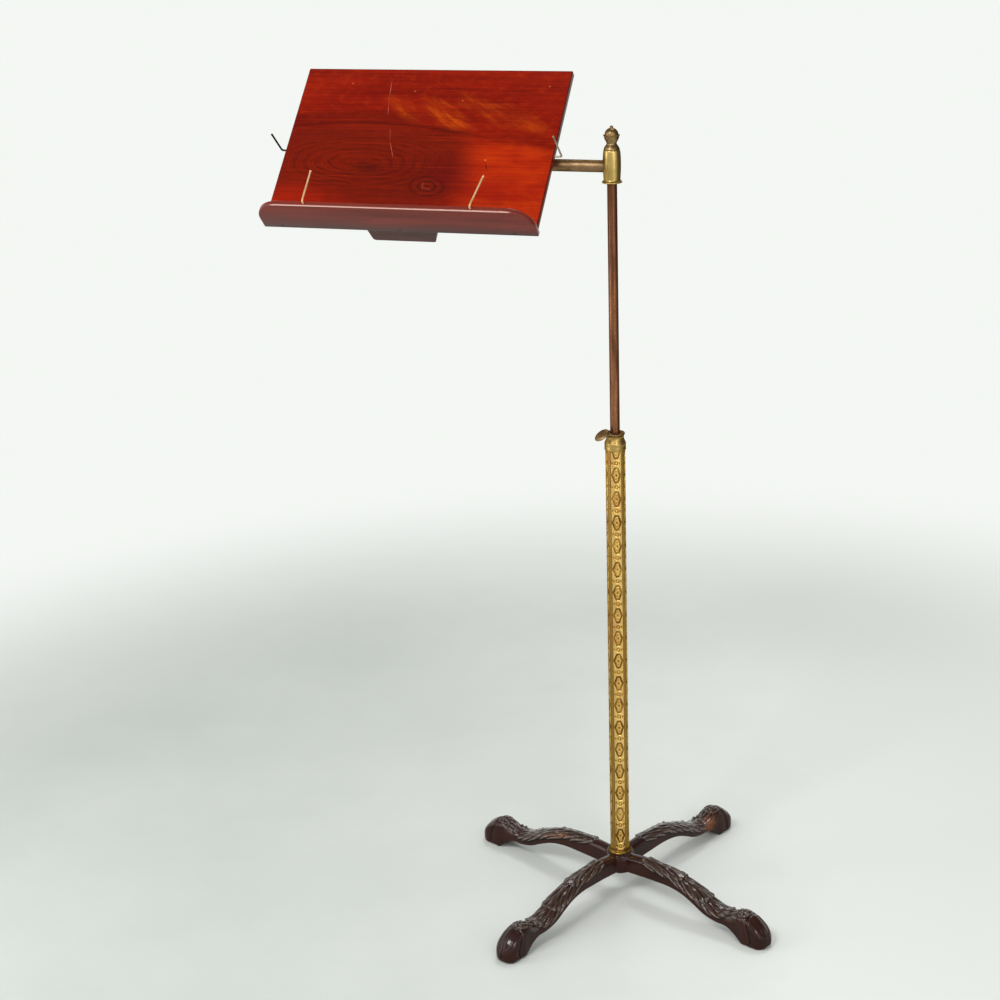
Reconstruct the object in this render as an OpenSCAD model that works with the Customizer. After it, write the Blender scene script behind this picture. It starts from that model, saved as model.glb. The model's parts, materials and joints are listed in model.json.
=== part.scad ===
// Adjustable reading table: a sloping desk on a side arm, carried by a rod in a brass column.
// Millimetres. Z is up, the floor is z = 0, the arm points to -X and the reader stands at -Y.

/* [Cast foot] */
// Distance from the column's axis to the tip of a toe
toe_r = 270; // [240:1:310]
// Turn of the first leg from the +X direction, degrees
leg_turn = 66.5; // [45:0.1:80]
// Height of the hub's top, where the column stands
hub_top = 67; // [60:1:80]
// Height of the hub's underside
hub_under = 38; // [30:1:44]
// Length of the toe's rounded nose, seen from above
nose_l = 16.5; // [14:0.5:19]

/* [Column] */
// Outer diameter of the embossed sheath
sheath_d = 28.2; // [27.4:0.1:30]
// Outer diameter of the iron liner inside the sheath
liner_d = 25; // [24:0.1:25.6]
// Bore of the liner
liner_bore = 19; // [17:0.1:19.6]
// Height of the column's upper end, under the lever
column_top = 714; // [650:0.5:760]

/* [Lift rod and head] */
// Diameter of the lift rod
rod_d = 13.5; // [11:0.1:14]
// Height of the rod's lower shoulder as the table stands
rod_foot = 397; // [360:1:430]
// Height of the arm's axis as the table stands
arm_z = 1087; // [1040:1:1140]
// Height of the head's widest part above the arm's axis
head_rise = 2; // [0:0.5:4]
// Diameter of the arm
arm_d = 16.4; // [14:0.1:18]
// Diameter of the head's barrel
barrel_d = 24.5; // [23:0.1:26]

/* [Desk] */
// Width of the board
board_w = 389; // [340:1:430]
// Depth of the board along its slope
board_l = 255; // [220:1:290]
// Thickness of the board
board_t = 10; // [8:0.5:14]
// Slope of the board from level, degrees
tilt = 45.2; // [0:0.1:70]
// Distance from the column's axis to the middle of the board
desk_reach = 269; // [255:1:290]
// Height of the board's back above the arm's axis, square to the board
board_rise = 17.4; // [16:0.1:20]
// How far the board's middle sits up the slope from the arm
board_shift = 8.6; // [0:0.1:15]
// Height of the book ledge, from the board's back to its top edge
ledge_h = 55; // [44:1:60]
// Width of the book ledge, a little more than the board's
ledge_w = 394; // [340:1:440]
// Thickness of the book ledge
ledge_t = 7.5; // [5:0.5:9]
// Radius of the ledge's upper corners
ledge_r = 36; // [20:1:36]
// Width of the block under the board
block_w = 102; // [90:1:110]
// Thickness of the block
block_t = 34; // [32:1:38]
// Length of the block up the slope
block_l = 195; // [180:1:210]

/* [Wires] */
// Diameter of the page holders' and clips' wire
wire_d = 2.6; // [2:0.1:3.2]
// Height of a page holder above the ledge
holder_rise = 5.5; // [4:0.5:18]
// Length of a page holder's arm
holder_l = 48; // [35:1:55]
// Place of the left page holder from the desk's middle
holder_left_x = -121; // [-140:1:-100]
// Place of the right page holder from the desk's middle
holder_right_x = 115.5; // [100:0.5:140]
// Turn of the right page holder, degrees
holder_right_turn = -11; // [-20:1:0]
// Reach of the left side clip beyond the board's edge
clip_left_out = 7.8; // [6:0.2:12]
// Height of the left side clip above the board's middle plane
clip_left_h = 40; // [30:1:50]
// Reach of the right side clip beyond the board's edge
clip_right_out = 10.6; // [6:0.2:12]
// Height of the right side clip above the board's middle plane
clip_right_h = 49; // [40:1:55]
// Lean of the side clips towards the reader, degrees
clip_lean = 4; // [0:1:10]

/* [Screws] */
// Diameter of the block's wood screws
block_screw_d = 4; // [3:0.1:5]
// Diameter of the ledge's wood screws
ledge_screw_d = 2.6; // [2:0.1:3.4]
// Length of the ledge's wood screws
ledge_screw_l = 20; // [14:0.5:26]
// Distance of the block's screws from its middle
block_screw_x = 36; // [25:1:40]
// Distance of the block's lower screws from its lower end
block_screw_low = 18; // [12:1:30]
// Distance of the block's upper screws from its lower end
block_screw_high = 78; // [60:1:90]

/* [Lever] */
// Turn of the thumb lever from the +X direction, degrees
lever_turn = 229; // [150:1:260]
// Distance from the column's axis to the middle of the thumb piece
lever_reach = 23.5; // [21:0.5:27]
// Radius of the round thumb piece
thumb_r = 10; // [8:0.5:12]
// Droop of the thumb piece, degrees
lever_droop = 34; // [20:1:45]

/* [Hidden] */
$fn = 64;

iron = [0.17, 0.08, 0.06];
grey_iron = [0.35, 0.34, 0.33];
gilt = [0.79, 0.60, 0.25];
brass = [0.72, 0.58, 0.28];
bronze = [0.45, 0.34, 0.18];
old_copper = [0.50, 0.33, 0.22];
mahogany = [0.45, 0.11, 0.05];
dark_mahogany = [0.35, 0.16, 0.13];

// Clearances: a running fit between a shaft and its bore, and a seat that only touches
run = 0.06;
seat = 0.02;
end_gap = 0.2;

// The origin is at the middle of the whole outline, so the column stands to its right.
desk_reach_out = desk_reach + board_w / 2 + clip_left_out + wire_d / 2;
toe_half = 17;
foot_reach_out = (toe_r - nose_l) * sin(leg_turn)
    + sqrt(pow(nose_l * sin(leg_turn), 2) + pow(toe_half * cos(leg_turn), 2));
column_x = (desk_reach_out - foot_reach_out) / 2;

board_back = board_rise;
board_face = board_rise + board_t;
board_mid = board_rise + board_t / 2;
board_low = board_shift - board_l / 2;
block_back = board_rise - block_t;
sleeve_r = arm_d / 2 + 2;

// Places a child in the column's frame, with the column's axis at x = 0
module at_column() {
    translate([column_x, 0, 0]) children();
}

// Places a child in the desk's frame: the arm's axis is X, Y climbs the slope, Z is square to the board
module at_desk() {
    at_column() translate([-desk_reach, 0, arm_z]) rotate([tilt, 0, 0]) children();
}

// Smooth curve through a table of [x, y] points
function piece(t, x, i = 0) = (i >= len(t) - 2 || x < t[i + 1][0]) ? i : piece(t, x, i + 1);
function slope(t, i) =
    let (a = max(i - 1, 0), b = min(i + 1, len(t) - 1))
    (t[b][1] - t[a][1]) / (t[b][0] - t[a][0]);
function smooth(t, x) =
    let (
        i = piece(t, x),
        h = t[i + 1][0] - t[i][0],
        u = (x - t[i][0]) / h
    )
    (2 * pow(u, 3) - 3 * pow(u, 2) + 1) * t[i][1]
        + (pow(u, 3) - 2 * pow(u, 2) + u) * slope(t, i) * h
        + (3 * pow(u, 2) - 2 * pow(u, 3)) * t[i + 1][1]
        + (pow(u, 3) - pow(u, 2)) * slope(t, i + 1) * h;

// Cast foot

// Crest, underside and half width of a leg by distance from the column's axis
leg_k = toe_r / 270;
leg_crest = stretch([
    [18, hub_top - 0.5], [45, hub_top + 2], [75, hub_top + 1], [100, hub_top - 1.5], [125, 59.5], [145, 52.5],
    [165, 43.5], [185, 36], [197, 35.5], [210, 40], [222, 45], [231, 46], [242, 43], [252, 37], [260, 30],
    [266, 22], [270, 14]
]);
leg_under = stretch([
    [18, 40], [60, 42.5], [100, 44], [125, 40.5], [145, 33], [165, 23.5], [185, 19], [203, 18], [216, 12.5],
    [226, 5], [233, 0], [260, 0], [266, 2], [270, 6]
]);
leg_half = stretch([
    [18, 10.5], [60, 10.8], [110, 12.6], [150, 14.6], [185, 14.8], [205, 14.4], [222, 15.2], [240, toe_half],
    [270, toe_half]
]);

function stretch(t) = [for (p = t) [p[0] * leg_k, p[1]]];
function leg_floor(r) = r > 232 * leg_k && r < 261 * leg_k ? 0 : max(0, smooth(leg_under, r));
function leg_side(r) =
    let (past = max(0, r - (toe_r - nose_l)) / nose_l)
    smooth(leg_half, r) * sqrt(max(0.001, 1 - past * past));

// One cross section: flat underside, upright sides and a rounded back
cap_steps = 8;
function leg_section(r) =
    let (
        w = leg_side(r),
        low = leg_floor(r),
        high = smooth(leg_crest, r),
        cap = min(w * 0.75, (high - low) * 0.45),
        edge = min(1.5, w * 0.3)
    )
    concat(
        [[r, -w, low + edge], [r, -w + edge, low], [r, w - edge, low], [r, w, low + edge]],
        [for (i = [0:cap_steps])
            let (a = 180 * i / cap_steps)
            [r, w * cos(a), high - cap + cap * sin(a)]]
    );

straight_steps = 38;
nose_steps = 7;
leg_places = concat(
    [for (i = [0:straight_steps]) 20 + (toe_r - nose_l - 20) * i / straight_steps],
    [for (i = [1:nose_steps]) toe_r - nose_l + nose_l * sin(86 * i / nose_steps)]
);

// Skin between equal cross sections, closed by its first and last one
module loft(sections) {
    n = len(sections[0]);
    last = len(sections) - 1;
    points = [for (s = sections) each s];
    sides = [
        for (k = [0:last - 1])
            for (i = [0:n - 1])
                for (half = [0, 1])
                    let (j = (i + 1) % n, a = k * n + i, b = k * n + j)
                    half == 0 ? [a, a + n, b] : [b, a + n, b + n]
    ];
    ends = [[for (i = [0:n - 1]) i], [for (i = [n - 1:-1:0]) last * n + i]];
    polyhedron(points, concat(sides, ends), convexity = 6);
}

module leg() {
    loft([for (r = leg_places) leg_section(r)]);
}

module base_casting() {
    color(iron) at_column() difference() {
        union() {
            for (k = [0:3]) rotate([0, 0, leg_turn + 90 * k]) leg();
            rotate_extrude() polygon([
                [0, hub_under], [20.5, hub_under], [22.5, hub_under + 2], [22.5, hub_top - 8],
                [20.5, hub_top - 2], [18.5, hub_top], [0, hub_top]
            ]);
        }
        translate([0, 0, hub_under - 1]) cylinder(d = liner_d + 2 * seat, h = hub_top);
        translate([0, 0, hub_under - 1]) cylinder(r = 18.5, h = 13);
    }
}

// Column

module column_liner() {
    color(grey_iron) at_column() translate([0, 0, hub_under + 1]) difference() {
        cylinder(d = liner_d, h = column_top - 10.7 - hub_under - 1);
        translate([0, 0, -1]) cylinder(d = liner_bore, h = column_top);
    }
}

module base_washer() {
    color(grey_iron) at_column() translate([0, 0, hub_under + 10]) difference() {
        cylinder(r = 17.5, h = 2);
        translate([0, 0, -1]) cylinder(d = liner_d + 2 * seat, h = 4);
    }
}

module base_nut() {
    color(grey_iron) at_column() translate([0, 0, hub_under + 1]) difference() {
        cylinder(r = 17.5, h = 9, $fn = 6);
        translate([0, 0, -1]) cylinder(d = liner_d + 2 * seat, h = 11);
    }
}

module foot_ring() {
    color(brass) at_column() translate([0, 0, hub_top]) rotate_extrude() polygon([
        [liner_d / 2 + seat, 0], [17.8, 0], [17.8, 2.2], [17.1, 3.2], [15.9, 3.8], [15.2, 5], [14.9, 6],
        [liner_d / 2 + seat, 6]
    ]);
}

module column_sheath() {
    color(gilt) at_column() translate([0, 0, hub_top + 6]) difference() {
        cylinder(d = sheath_d, h = column_top - 12.5 - hub_top - 6);
        translate([0, 0, -1]) cylinder(d = liner_d + 2 * seat, h = column_top);
    }
}

// Turned collar: a bulge over the sheath's end, then a neck under the lever
module column_collar() {
    color(brass) at_column() translate([0, 0, column_top]) rotate_extrude() polygon([
        [sheath_d / 2 + seat, -21.7], [14.6, -21.7], [15, -20.3], [15.05, -10.5], [14.6, -9.4], [13.6, -8.5],
        [12.7, -7.7], [12.4, -6.5], [12.2, -4.5], [12.1, -3], [12.4, -2], [12.6, -1.1], [12.3, -0.3], [11.8, 0],
        [9, 0], [9, -9.5], [rod_d / 2 + run, -9.5], [rod_d / 2 + run, -10.5],
        [liner_d / 2 + seat, -10.5], [liner_d / 2 + seat, -12.4], [sheath_d / 2 + seat, -12.4]
    ]);
}

module clamp_collet() {
    color(brass) at_column() translate([0, 0, column_top - 9.5]) difference() {
        cylinder(r = 8.95, h = 7.9);
        translate([0, 0, -1]) cylinder(d = rod_d + 2 * run, h = 10);
        translate([0, -0.6, -1]) cube([12, 1.2, 10]);
    }
}

// Edge of the thumb piece where two balls overlap, as [radius, height]
thumb_steps = 7;
function thumb_edge(a, plump) =
    let (
        high = abs(plump),
        ball_r = (thumb_r * thumb_r + high * high) / (2 * high),
        r = thumb_r * sin(a)
    )
    [r, sign(plump) * max(0, sqrt(ball_r * ball_r - r * r) - ball_r + high)];

// Disc on the collar with a web that carries a plump, drooping thumb piece
module clamp_lever() {
    plump = 4;
    thumb_z = 1.6;
    color(bronze) at_column() translate([0, 0, column_top + end_gap]) difference() {
        union() {
            cylinder(r = 13.8, h = 2.9);
            translate([0, 0, -1.6]) cylinder(r = 8.9, h = 2);
            rotate([0, 0, lever_turn]) {
                translate([0, 4.5, 0]) rotate([90, 0, 0]) linear_extrude(height = 9) polygon([
                    [9.3, 0.7], [9.3, 2.1], [lever_reach - 8.6, thumb_z + 4.3], [lever_reach - 2, thumb_z + 1.4],
                    [lever_reach - 2, thumb_z - 1], [lever_reach - 6, 0.4]
                ]);
                translate([lever_reach, 0, thumb_z]) rotate([0, lever_droop, 0])
                    rotate_extrude() polygon(concat(
                        [for (i = [0:thumb_steps]) thumb_edge(90 * i / thumb_steps, plump)],
                        [for (i = [thumb_steps - 1:-1:0]) thumb_edge(90 * i / thumb_steps, -plump)]
                    ));
            }
        }
        translate([0, 0, -3]) cylinder(d = rod_d + 2 * run, h = 10);
    }
}

// Lift rod and head

module rod_guide_plug() {
    color(brass) at_column() translate([0, 0, rod_foot - 22]) difference() {
        cylinder(d = liner_bore - 2 * run, h = 22 - end_gap);
        translate([0, 0, -1]) cylinder(r = 4 + run, h = 24);
    }
}

module lift_rod() {
    color(old_copper) at_column() difference() {
        union() {
            translate([0, 0, rod_foot]) cylinder(d = rod_d, h = arm_z - 10 - rod_foot);
            translate([0, 0, rod_foot - 22]) cylinder(r = 4, h = 23);
        }
        translate([0, 0, rod_foot - 23]) cylinder(r = 2, h = 16);
        translate([0, 2, arm_z - 12.9]) rotate([-90, 0, 0]) cylinder(r = 1.5, h = 20);
    }
}

module guide_screw() {
    color(grey_iron) at_column() difference() {
        union() {
            translate([0, 0, rod_foot - 28]) cylinder(r = 6.5, h = 6 - end_gap);
            translate([0, 0, rod_foot - 23]) cylinder(r = 2 - seat, h = 15);
        }
        translate([-8, -0.6, rod_foot - 29]) cube([16, 1.2, 2.5]);
    }
}

// Radii of the head's barrel by height from its widest part, with sockets for the rod and the finial
module head_barrel() {
    rod_top = -10 - head_rise;
    color(brass) at_column() difference() {
        translate([0, 0, arm_z + head_rise]) rotate_extrude() polygon([
            [rod_d / 2 + seat, -24], [12.2, -24], [13.3, -23.6], [13.7, -22.7], [13.6, -22], [12.8, -21.3],
            [12, -20.4], [11.4, -19.2], [11.35, -18], [11.7, -13.1], [12.1, -6], [barrel_d / 2, 0.7],
            [barrel_d / 2, 4.3], [12, 12.3], [11.6, 17], [11.2, 19.4], [10.9, 20.2], [4, 20.2], [4, 11], [0, 11],
            [0, rod_top], [rod_d / 2 + seat, rod_top]
        ]);
        translate([-20, 0, arm_z]) rotate([0, 90, 0]) cylinder(d = arm_d + 2 * seat, h = 26);
        translate([0, 2, arm_z - 12.9]) rotate([-90, 0, 0]) cylinder(r = 1.5, h = 20);
        translate([-2, 5, arm_z]) rotate([-90, 0, 0]) cylinder(r = 2, h = 20);
    }
}

// Shoulder, neck, brim and dome, with a spigot down into the barrel
module finial() {
    dome_r = 9.4;
    dome_z = 40;
    color(brass) at_column() translate([0, 0, arm_z + head_rise]) rotate_extrude() polygon(concat(
        [[0, 11.5], [4 - seat, 11.5], [4 - seat, 20.2], [10.8, 20.4], [10.8, 21.2], [10, 23.2], [8.7, 25.7],
         [7.3, 27], [6.8, 28.2], [6.9, 29.6], [7.8, 31.6], [8.9, 33.3], [10, 36.5], [10.4, 39], [11.4, 39.2],
         [11.4, 39.9], [9.5, 40.2]],
        [for (a = [8:8:72]) [dome_r * cos(a), dome_z + dome_r * sin(a)]],
        [[2.4, 49.2], [2.2, 50.4], [1.4, 51.8], [0, 52.4]]
    ));
}

// Grub screw that fixes the barrel on the rod, from behind
module head_screw() {
    color(grey_iron) at_column() translate([0, 2, arm_z - 12.9]) rotate([-90, 0, 0]) difference() {
        cylinder(r = 1.5 - seat, h = 9.6);
        translate([-3, -0.3, 8.6]) cube([6, 0.6, 2]);
    }
}

module swing_arm() {
    color(brass) at_column() translate([5.5, 0, arm_z]) rotate([0, -90, 0]) difference() {
        cylinder(d = arm_d, h = desk_reach + 83 + 5.5);
        translate([0, 0, 12]) cylinder(d = arm_d - 3.2, h = desk_reach * 1.5);
        translate([0, 4, 7.5]) rotate([-90, 0, 0]) cylinder(r = 2, h = 10);
    }
}

module arm_pin() {
    color(grey_iron) at_column() translate([-2, 0, arm_z]) rotate([-90, 0, 0]) difference() {
        union() {
            translate([0, 0, 5]) cylinder(r = 2 - seat, h = barrel_d / 2 - 4.5);
            translate([0, 0, barrel_d / 2 + 0.1]) cylinder(r1 = 2.6, r2 = 3.2, h = 1.3);
        }
        translate([-5, -0.4, barrel_d / 2 + 0.7]) cube([10, 0.8, 2]);
    }
}

module arm_end_cap() {
    color(brass) at_column() translate([-desk_reach - 83, 0, arm_z]) rotate([0, -90, 0])
        rotate_extrude() polygon([
            [0, -8], [arm_d / 2 - 1.6 - seat, -8], [arm_d / 2 - 1.6 - seat, 0], [11, 0], [11.6, 0.8],
            [11.6, 2.6], [10.4, 4], [6, 5.6], [0, 6.2]
        ]);
}

// Carriage on the arm

module arm_sleeve() {
    color(brass) at_desk() rotate([0, 90, 0]) difference() {
        union() {
            translate([0, 0, -57]) cylinder(r = sleeve_r, h = 57 + block_w / 2 + 4);
            translate([0, 0, block_w / 2 + 0.3]) cylinder(r = 14, h = 3.7);
        }
        translate([0, 0, -60]) cylinder(d = arm_d + 2 * run, h = 120);
        translate([0, 0, -55]) rotate([0, -90, 0]) cylinder(r = 1.5, h = 20);
    }
}

module sleeve_collar() {
    color(brass) at_desk() rotate([0, 90, 0]) difference() {
        translate([0, 0, -58.5]) cylinder(r = 14, h = 58.5 - block_w / 2 - 0.3);
        translate([0, 0, -60]) cylinder(r = sleeve_r + seat, h = 20);
        translate([0, 0, -55]) rotate([0, -90, 0]) cylinder(r = 1.5, h = 20);
    }
}

module sleeve_screw() {
    color(grey_iron) at_desk() rotate([0, 90, 0]) translate([0, 0, -55]) rotate([0, -90, 0]) difference() {
        union() {
            translate([0, 0, arm_d / 2 + 0.3]) cylinder(r = 1.5 - seat, h = 14.4 - arm_d / 2);
            translate([0, 0, 14]) cylinder(r = 2.8, h = 1.8);
        }
        translate([-4, -0.4, 15]) cube([8, 0.8, 2]);
    }
}

// Desk

module desk_board() {
    color(mahogany) at_desk() difference() {
        translate([-board_w / 2, board_low, board_back]) cube([board_w, board_l, board_t]);
        for (x = [-1, 1])
            translate([x * board_w / 2, clip_y, board_mid]) rotate([0, 90, 0])
                cylinder(d = wire_d + 2 * run, h = 2 * clip_depth + 1, center = true);
        for (x = ledge_screw_x)
            translate([x, board_low - 1, board_mid]) rotate([-90, 0, 0])
                cylinder(d = ledge_screw_d, h = ledge_screw_l - ledge_t + 3);
        for (x = [-1, 1], y = block_screw_y)
            translate([x * block_screw_x, y, board_back - 1]) cylinder(d = block_screw_d, h = board_t / 2 + 1);
    }
}

ledge_screw_x = [-board_w / 2 + 26, 2, board_w / 2 - 30];
block_screw_y = [board_low + block_screw_low, board_low + block_screw_high];
clip_y = board_shift - 10.8;
clip_depth = 24;
holder_depth = 30;

module book_ledge() {
    top = board_back + ledge_h;
    flat = ledge_w / 2 - ledge_r;
    color(dark_mahogany) at_desk() difference() {
        translate([0, board_low, 0]) rotate([90, 0, 0]) linear_extrude(height = ledge_t) intersection() {
            union() {
                translate([-flat, board_back]) square([2 * flat, ledge_h]);
                translate([-ledge_w / 2, board_back]) square([ledge_w, ledge_h - ledge_r]);
                for (x = [-flat, flat]) translate([x, top - ledge_r]) circle(r = ledge_r);
            }
            translate([-ledge_w / 2, board_back]) square([ledge_w, ledge_h]);
        }
        for (x = [holder_left_x, holder_right_x])
            translate([x, board_low - ledge_t / 2, top - holder_depth]) cylinder(d = wire_d + 2 * run, h = 40);
        for (x = ledge_screw_x)
            translate([x, board_low - ledge_t, board_mid]) rotate([-90, 0, 0]) {
                cylinder(d = ledge_screw_d, h = 10);
                translate([0, 0, -0.01]) cylinder(d1 = 2 * ledge_screw_d, d2 = ledge_screw_d, h = 2);
            }
    }
}

module ledge_screws() {
    color(grey_iron) at_desk()
        for (x = ledge_screw_x)
            translate([x, board_low - ledge_t, board_mid]) rotate([-90, 0, 0]) {
                cylinder(d = ledge_screw_d - 2 * seat, h = ledge_screw_l);
                cylinder(d1 = 2 * ledge_screw_d - 2 * seat, d2 = ledge_screw_d - 2 * seat, h = 2);
            }
}

// Block with a bore for the sleeve and a saw cut that the wing screw closes
module tilt_block() {
    half = block_w / 2;
    color(dark_mahogany) at_desk() difference() {
        translate([0, board_low + block_l, 0]) rotate([90, 0, 0]) linear_extrude(height = block_l) polygon([
            [-half, board_back], [-half, board_back - 8], [-half + 2, block_back + 4],
            [-half + 3.2, block_back + 1.2], [-half + 6, block_back],
            [half - 12, block_back], [half - 9.2, block_back + 1.2], [half - 8, block_back + 4],
            [half, board_back - 8], [half, board_back]
        ]);
        rotate([0, 90, 0]) cylinder(r = sleeve_r + run, h = 2 * block_w, center = true);
        translate([-block_w, sleeve_r - 1, -1.25]) cube([2 * block_w, block_l, 2.5]);
        translate([0, wing_y, block_back - 1]) cylinder(r = 3.3, h = block_t + 2);
        translate([-6.1, wing_y - 6.1, board_back - 5.2]) cube([12.2, 12.2, 6]);
        for (x = [-1, 1], y = block_screw_y)
            translate([x * block_screw_x, y, block_back]) {
                cylinder(d = block_screw_d, h = block_t + 1);
                translate([0, 0, -0.01]) cylinder(d1 = 2 * block_screw_d, d2 = block_screw_d, h = 2.5);
            }
    }
}

wing_y = 50;

module block_screws() {
    color(grey_iron) at_desk()
        for (x = [-1, 1], y = block_screw_y)
            translate([x * block_screw_x, y, block_back]) {
                cylinder(d = block_screw_d - 2 * seat, h = block_t + board_t * 0.48);
                cylinder(d1 = 2 * block_screw_d - 2 * seat, d2 = block_screw_d - 2 * seat, h = 2.5);
            }
}

module clamp_nut() {
    color(brass) at_desk() translate([0, wing_y, board_back - 5.1]) difference() {
        translate([-6, -6, 0]) cube([12, 12, 5]);
        translate([0, 0, -1]) cylinder(r = 3 + run, h = 7);
    }
}

module clamp_washer() {
    color(brass) at_desk() translate([0, wing_y, block_back - 1.6]) difference() {
        cylinder(r = 8.5, h = 1.6);
        translate([0, 0, -1]) cylinder(r = 3.3, h = 4);
    }
}

module tilt_wing_screw() {
    top = board_back - 1 - block_back;
    color(brass) at_desk() translate([0, wing_y, block_back - 1.6 - end_gap]) {
        cylinder(r = 3, h = top + 1.6);
        rotate([180, 0, 0]) cylinder(r1 = 6, r2 = 4.6, h = 7);
        translate([0, 1.5, -8]) rotate([90, 0, 0]) linear_extrude(height = 3) {
            for (x = [-9, 9]) translate([x, -3]) circle(r = 6.5);
            translate([-9, -2.5]) square([18, 8]);
        }
    }
}

// Wires

// A straight stem along +Z that bends over a quarter turn and runs on along +Y, with a round end
module bent_wire(stem, arm, bend = 3) {
    r = wire_d / 2;
    cylinder(r = r, h = stem - bend);
    translate([0, bend, stem - bend]) rotate([90, 0, -90]) rotate_extrude(angle = 90)
        translate([bend, 0]) circle(r = r, $fn = 24);
    translate([0, bend, stem]) rotate([-90, 0, 0]) cylinder(r = r, h = arm - bend);
    translate([0, arm, stem]) sphere(r = r * 1.25, $fn = 24);
}

module page_holder(x, turn) {
    top = board_back + ledge_h;
    color(brass) at_desk() translate([x, board_low - ledge_t / 2, top - holder_depth + 1]) rotate([0, 0, turn])
        bent_wire(holder_depth - 1 + holder_rise, holder_l);
}

module page_holder_left() {
    page_holder(holder_left_x, 0);
}

module page_holder_right() {
    page_holder(holder_right_x, holder_right_turn);
}

// The stem lies in the board's side edge and the arm stands up past the board
module side_clip(side, out, high) {
    color(brass) at_desk() translate([side * (board_w / 2 - clip_depth + 1), clip_y, board_mid])
        rotate([clip_lean, 0, 0]) mirror([side < 0 ? 1 : 0, 0, 0])
            rotate([90, 0, 90]) bent_wire(clip_depth - 1 + out, high);
}

module side_clip_left() {
    side_clip(-1, clip_left_out, clip_left_h);
}

module side_clip_right() {
    side_clip(1, clip_right_out, clip_right_h);
}

base_casting();
column_liner();
base_washer();
base_nut();
foot_ring();
column_sheath();
column_collar();
clamp_collet();
clamp_lever();
rod_guide_plug();
lift_rod();
guide_screw();
head_barrel();
finial();
head_screw();
swing_arm();
arm_pin();
arm_end_cap();
arm_sleeve();
sleeve_collar();
sleeve_screw();
desk_board();
book_ledge();
ledge_screws();
tilt_block();
block_screws();
clamp_nut();
clamp_washer();
tilt_wing_screw();
page_holder_left();
page_holder_right();
side_clip_left();
side_clip_right();
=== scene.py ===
import json
import math
import bmesh
import bpy
import numpy as np
from mathutils import Matrix, Vector


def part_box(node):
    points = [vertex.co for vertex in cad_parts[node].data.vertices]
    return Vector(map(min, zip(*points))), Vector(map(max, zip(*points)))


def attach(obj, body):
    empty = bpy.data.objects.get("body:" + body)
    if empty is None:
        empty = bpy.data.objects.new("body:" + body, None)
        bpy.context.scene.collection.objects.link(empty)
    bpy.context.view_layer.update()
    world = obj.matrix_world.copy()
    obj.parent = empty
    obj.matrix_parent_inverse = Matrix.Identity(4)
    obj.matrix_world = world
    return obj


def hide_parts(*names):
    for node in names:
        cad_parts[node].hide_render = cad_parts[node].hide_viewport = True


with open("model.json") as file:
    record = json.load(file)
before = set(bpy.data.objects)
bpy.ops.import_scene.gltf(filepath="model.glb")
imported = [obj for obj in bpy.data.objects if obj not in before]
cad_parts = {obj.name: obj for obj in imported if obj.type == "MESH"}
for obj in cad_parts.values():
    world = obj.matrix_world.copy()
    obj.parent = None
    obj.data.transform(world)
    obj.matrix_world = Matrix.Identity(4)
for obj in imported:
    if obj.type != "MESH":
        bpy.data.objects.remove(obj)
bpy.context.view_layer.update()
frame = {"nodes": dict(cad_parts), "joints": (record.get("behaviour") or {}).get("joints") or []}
MM = 0.001


# Places worked out from the frame

joints = {j["name"]: j for j in frame["joints"]}
rod_low, rod_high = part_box("lift_rod")
column = (rod_low + rod_high) / 2
column.z = 0
arm_axis = Vector(joints["desk_tilt"]["pos_m"])
desk_normal = Vector(joints["wing_screw_turn"]["axis"])
desk_tilt = math.atan2(-desk_normal.y, desk_normal.z)
DESK = Matrix.Translation(arm_axis) @ Matrix.Rotation(desk_tilt, 4, "X")


# Objects and meshes

def add_object(name, data):
    """A new object in the scene, around a mesh, a lamp or a camera."""
    thing = bpy.data.objects.new(name, data)
    bpy.context.scene.collection.objects.link(thing)
    return thing


def make_mesh(name, verts, faces):
    mesh = bpy.data.meshes.new(name)
    mesh.from_pydata([tuple(v) for v in verts], [], [tuple(f) for f in faces])
    return mesh


def dress(mesh, material, sharp=None):
    """Give a mesh its material and smooth shading. Edges over sharp degrees stay sharp."""
    mesh.materials.clear()
    mesh.materials.append(material)
    mesh.polygons.foreach_set("use_smooth", [True] * len(mesh.polygons))
    if sharp is not None:
        mesh.set_sharp_from_angle(angle=math.radians(sharp))


def add_piece(name, verts, faces, body, material, matrix=Matrix(), sharp=60):
    """A visible piece that rides a body, with its finish."""
    mesh = make_mesh(name, verts, faces)
    mesh.validate()
    mesh.update()
    dress(mesh, material, sharp)
    piece = add_object(name, mesh)
    piece.matrix_world = matrix
    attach(piece, body)
    return piece


def give_attribute(piece, name, values):
    layer = piece.data.attributes.new(name, "FLOAT", "POINT")
    layer.data.foreach_set("value", np.asarray(values, np.float32))


def read_rows(items, name, width, kind=np.float32):
    """One property of a mesh's vertices or edges, as rows of width numbers."""
    values = np.zeros(len(items) * width, kind)
    items.foreach_get(name, values)
    return values.reshape(-1, width)


def add_shape(verts, faces, more, more_faces):
    """Put one more shape into lists of vertices and faces."""
    shift = len(verts)
    verts.extend(more)
    faces.extend([i + shift for i in f] for f in more_faces)


def melted(name, verts, faces, voxel, rounds):
    """One mesh from closed shapes that overlap, joined on a voxel grid and softened."""
    rough = add_object(name, make_mesh(name, verts, faces))
    join = rough.modifiers.new("join", "REMESH")
    join.mode = "VOXEL"
    join.voxel_size = voxel
    soften = rough.modifiers.new("soften", "SMOOTH")
    soften.factor = 0.5
    soften.iterations = rounds
    graph = bpy.context.evaluated_depsgraph_get()
    mesh = bpy.data.meshes.new_from_object(rough.evaluated_get(graph))
    bpy.data.objects.remove(rough)
    return mesh


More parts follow.
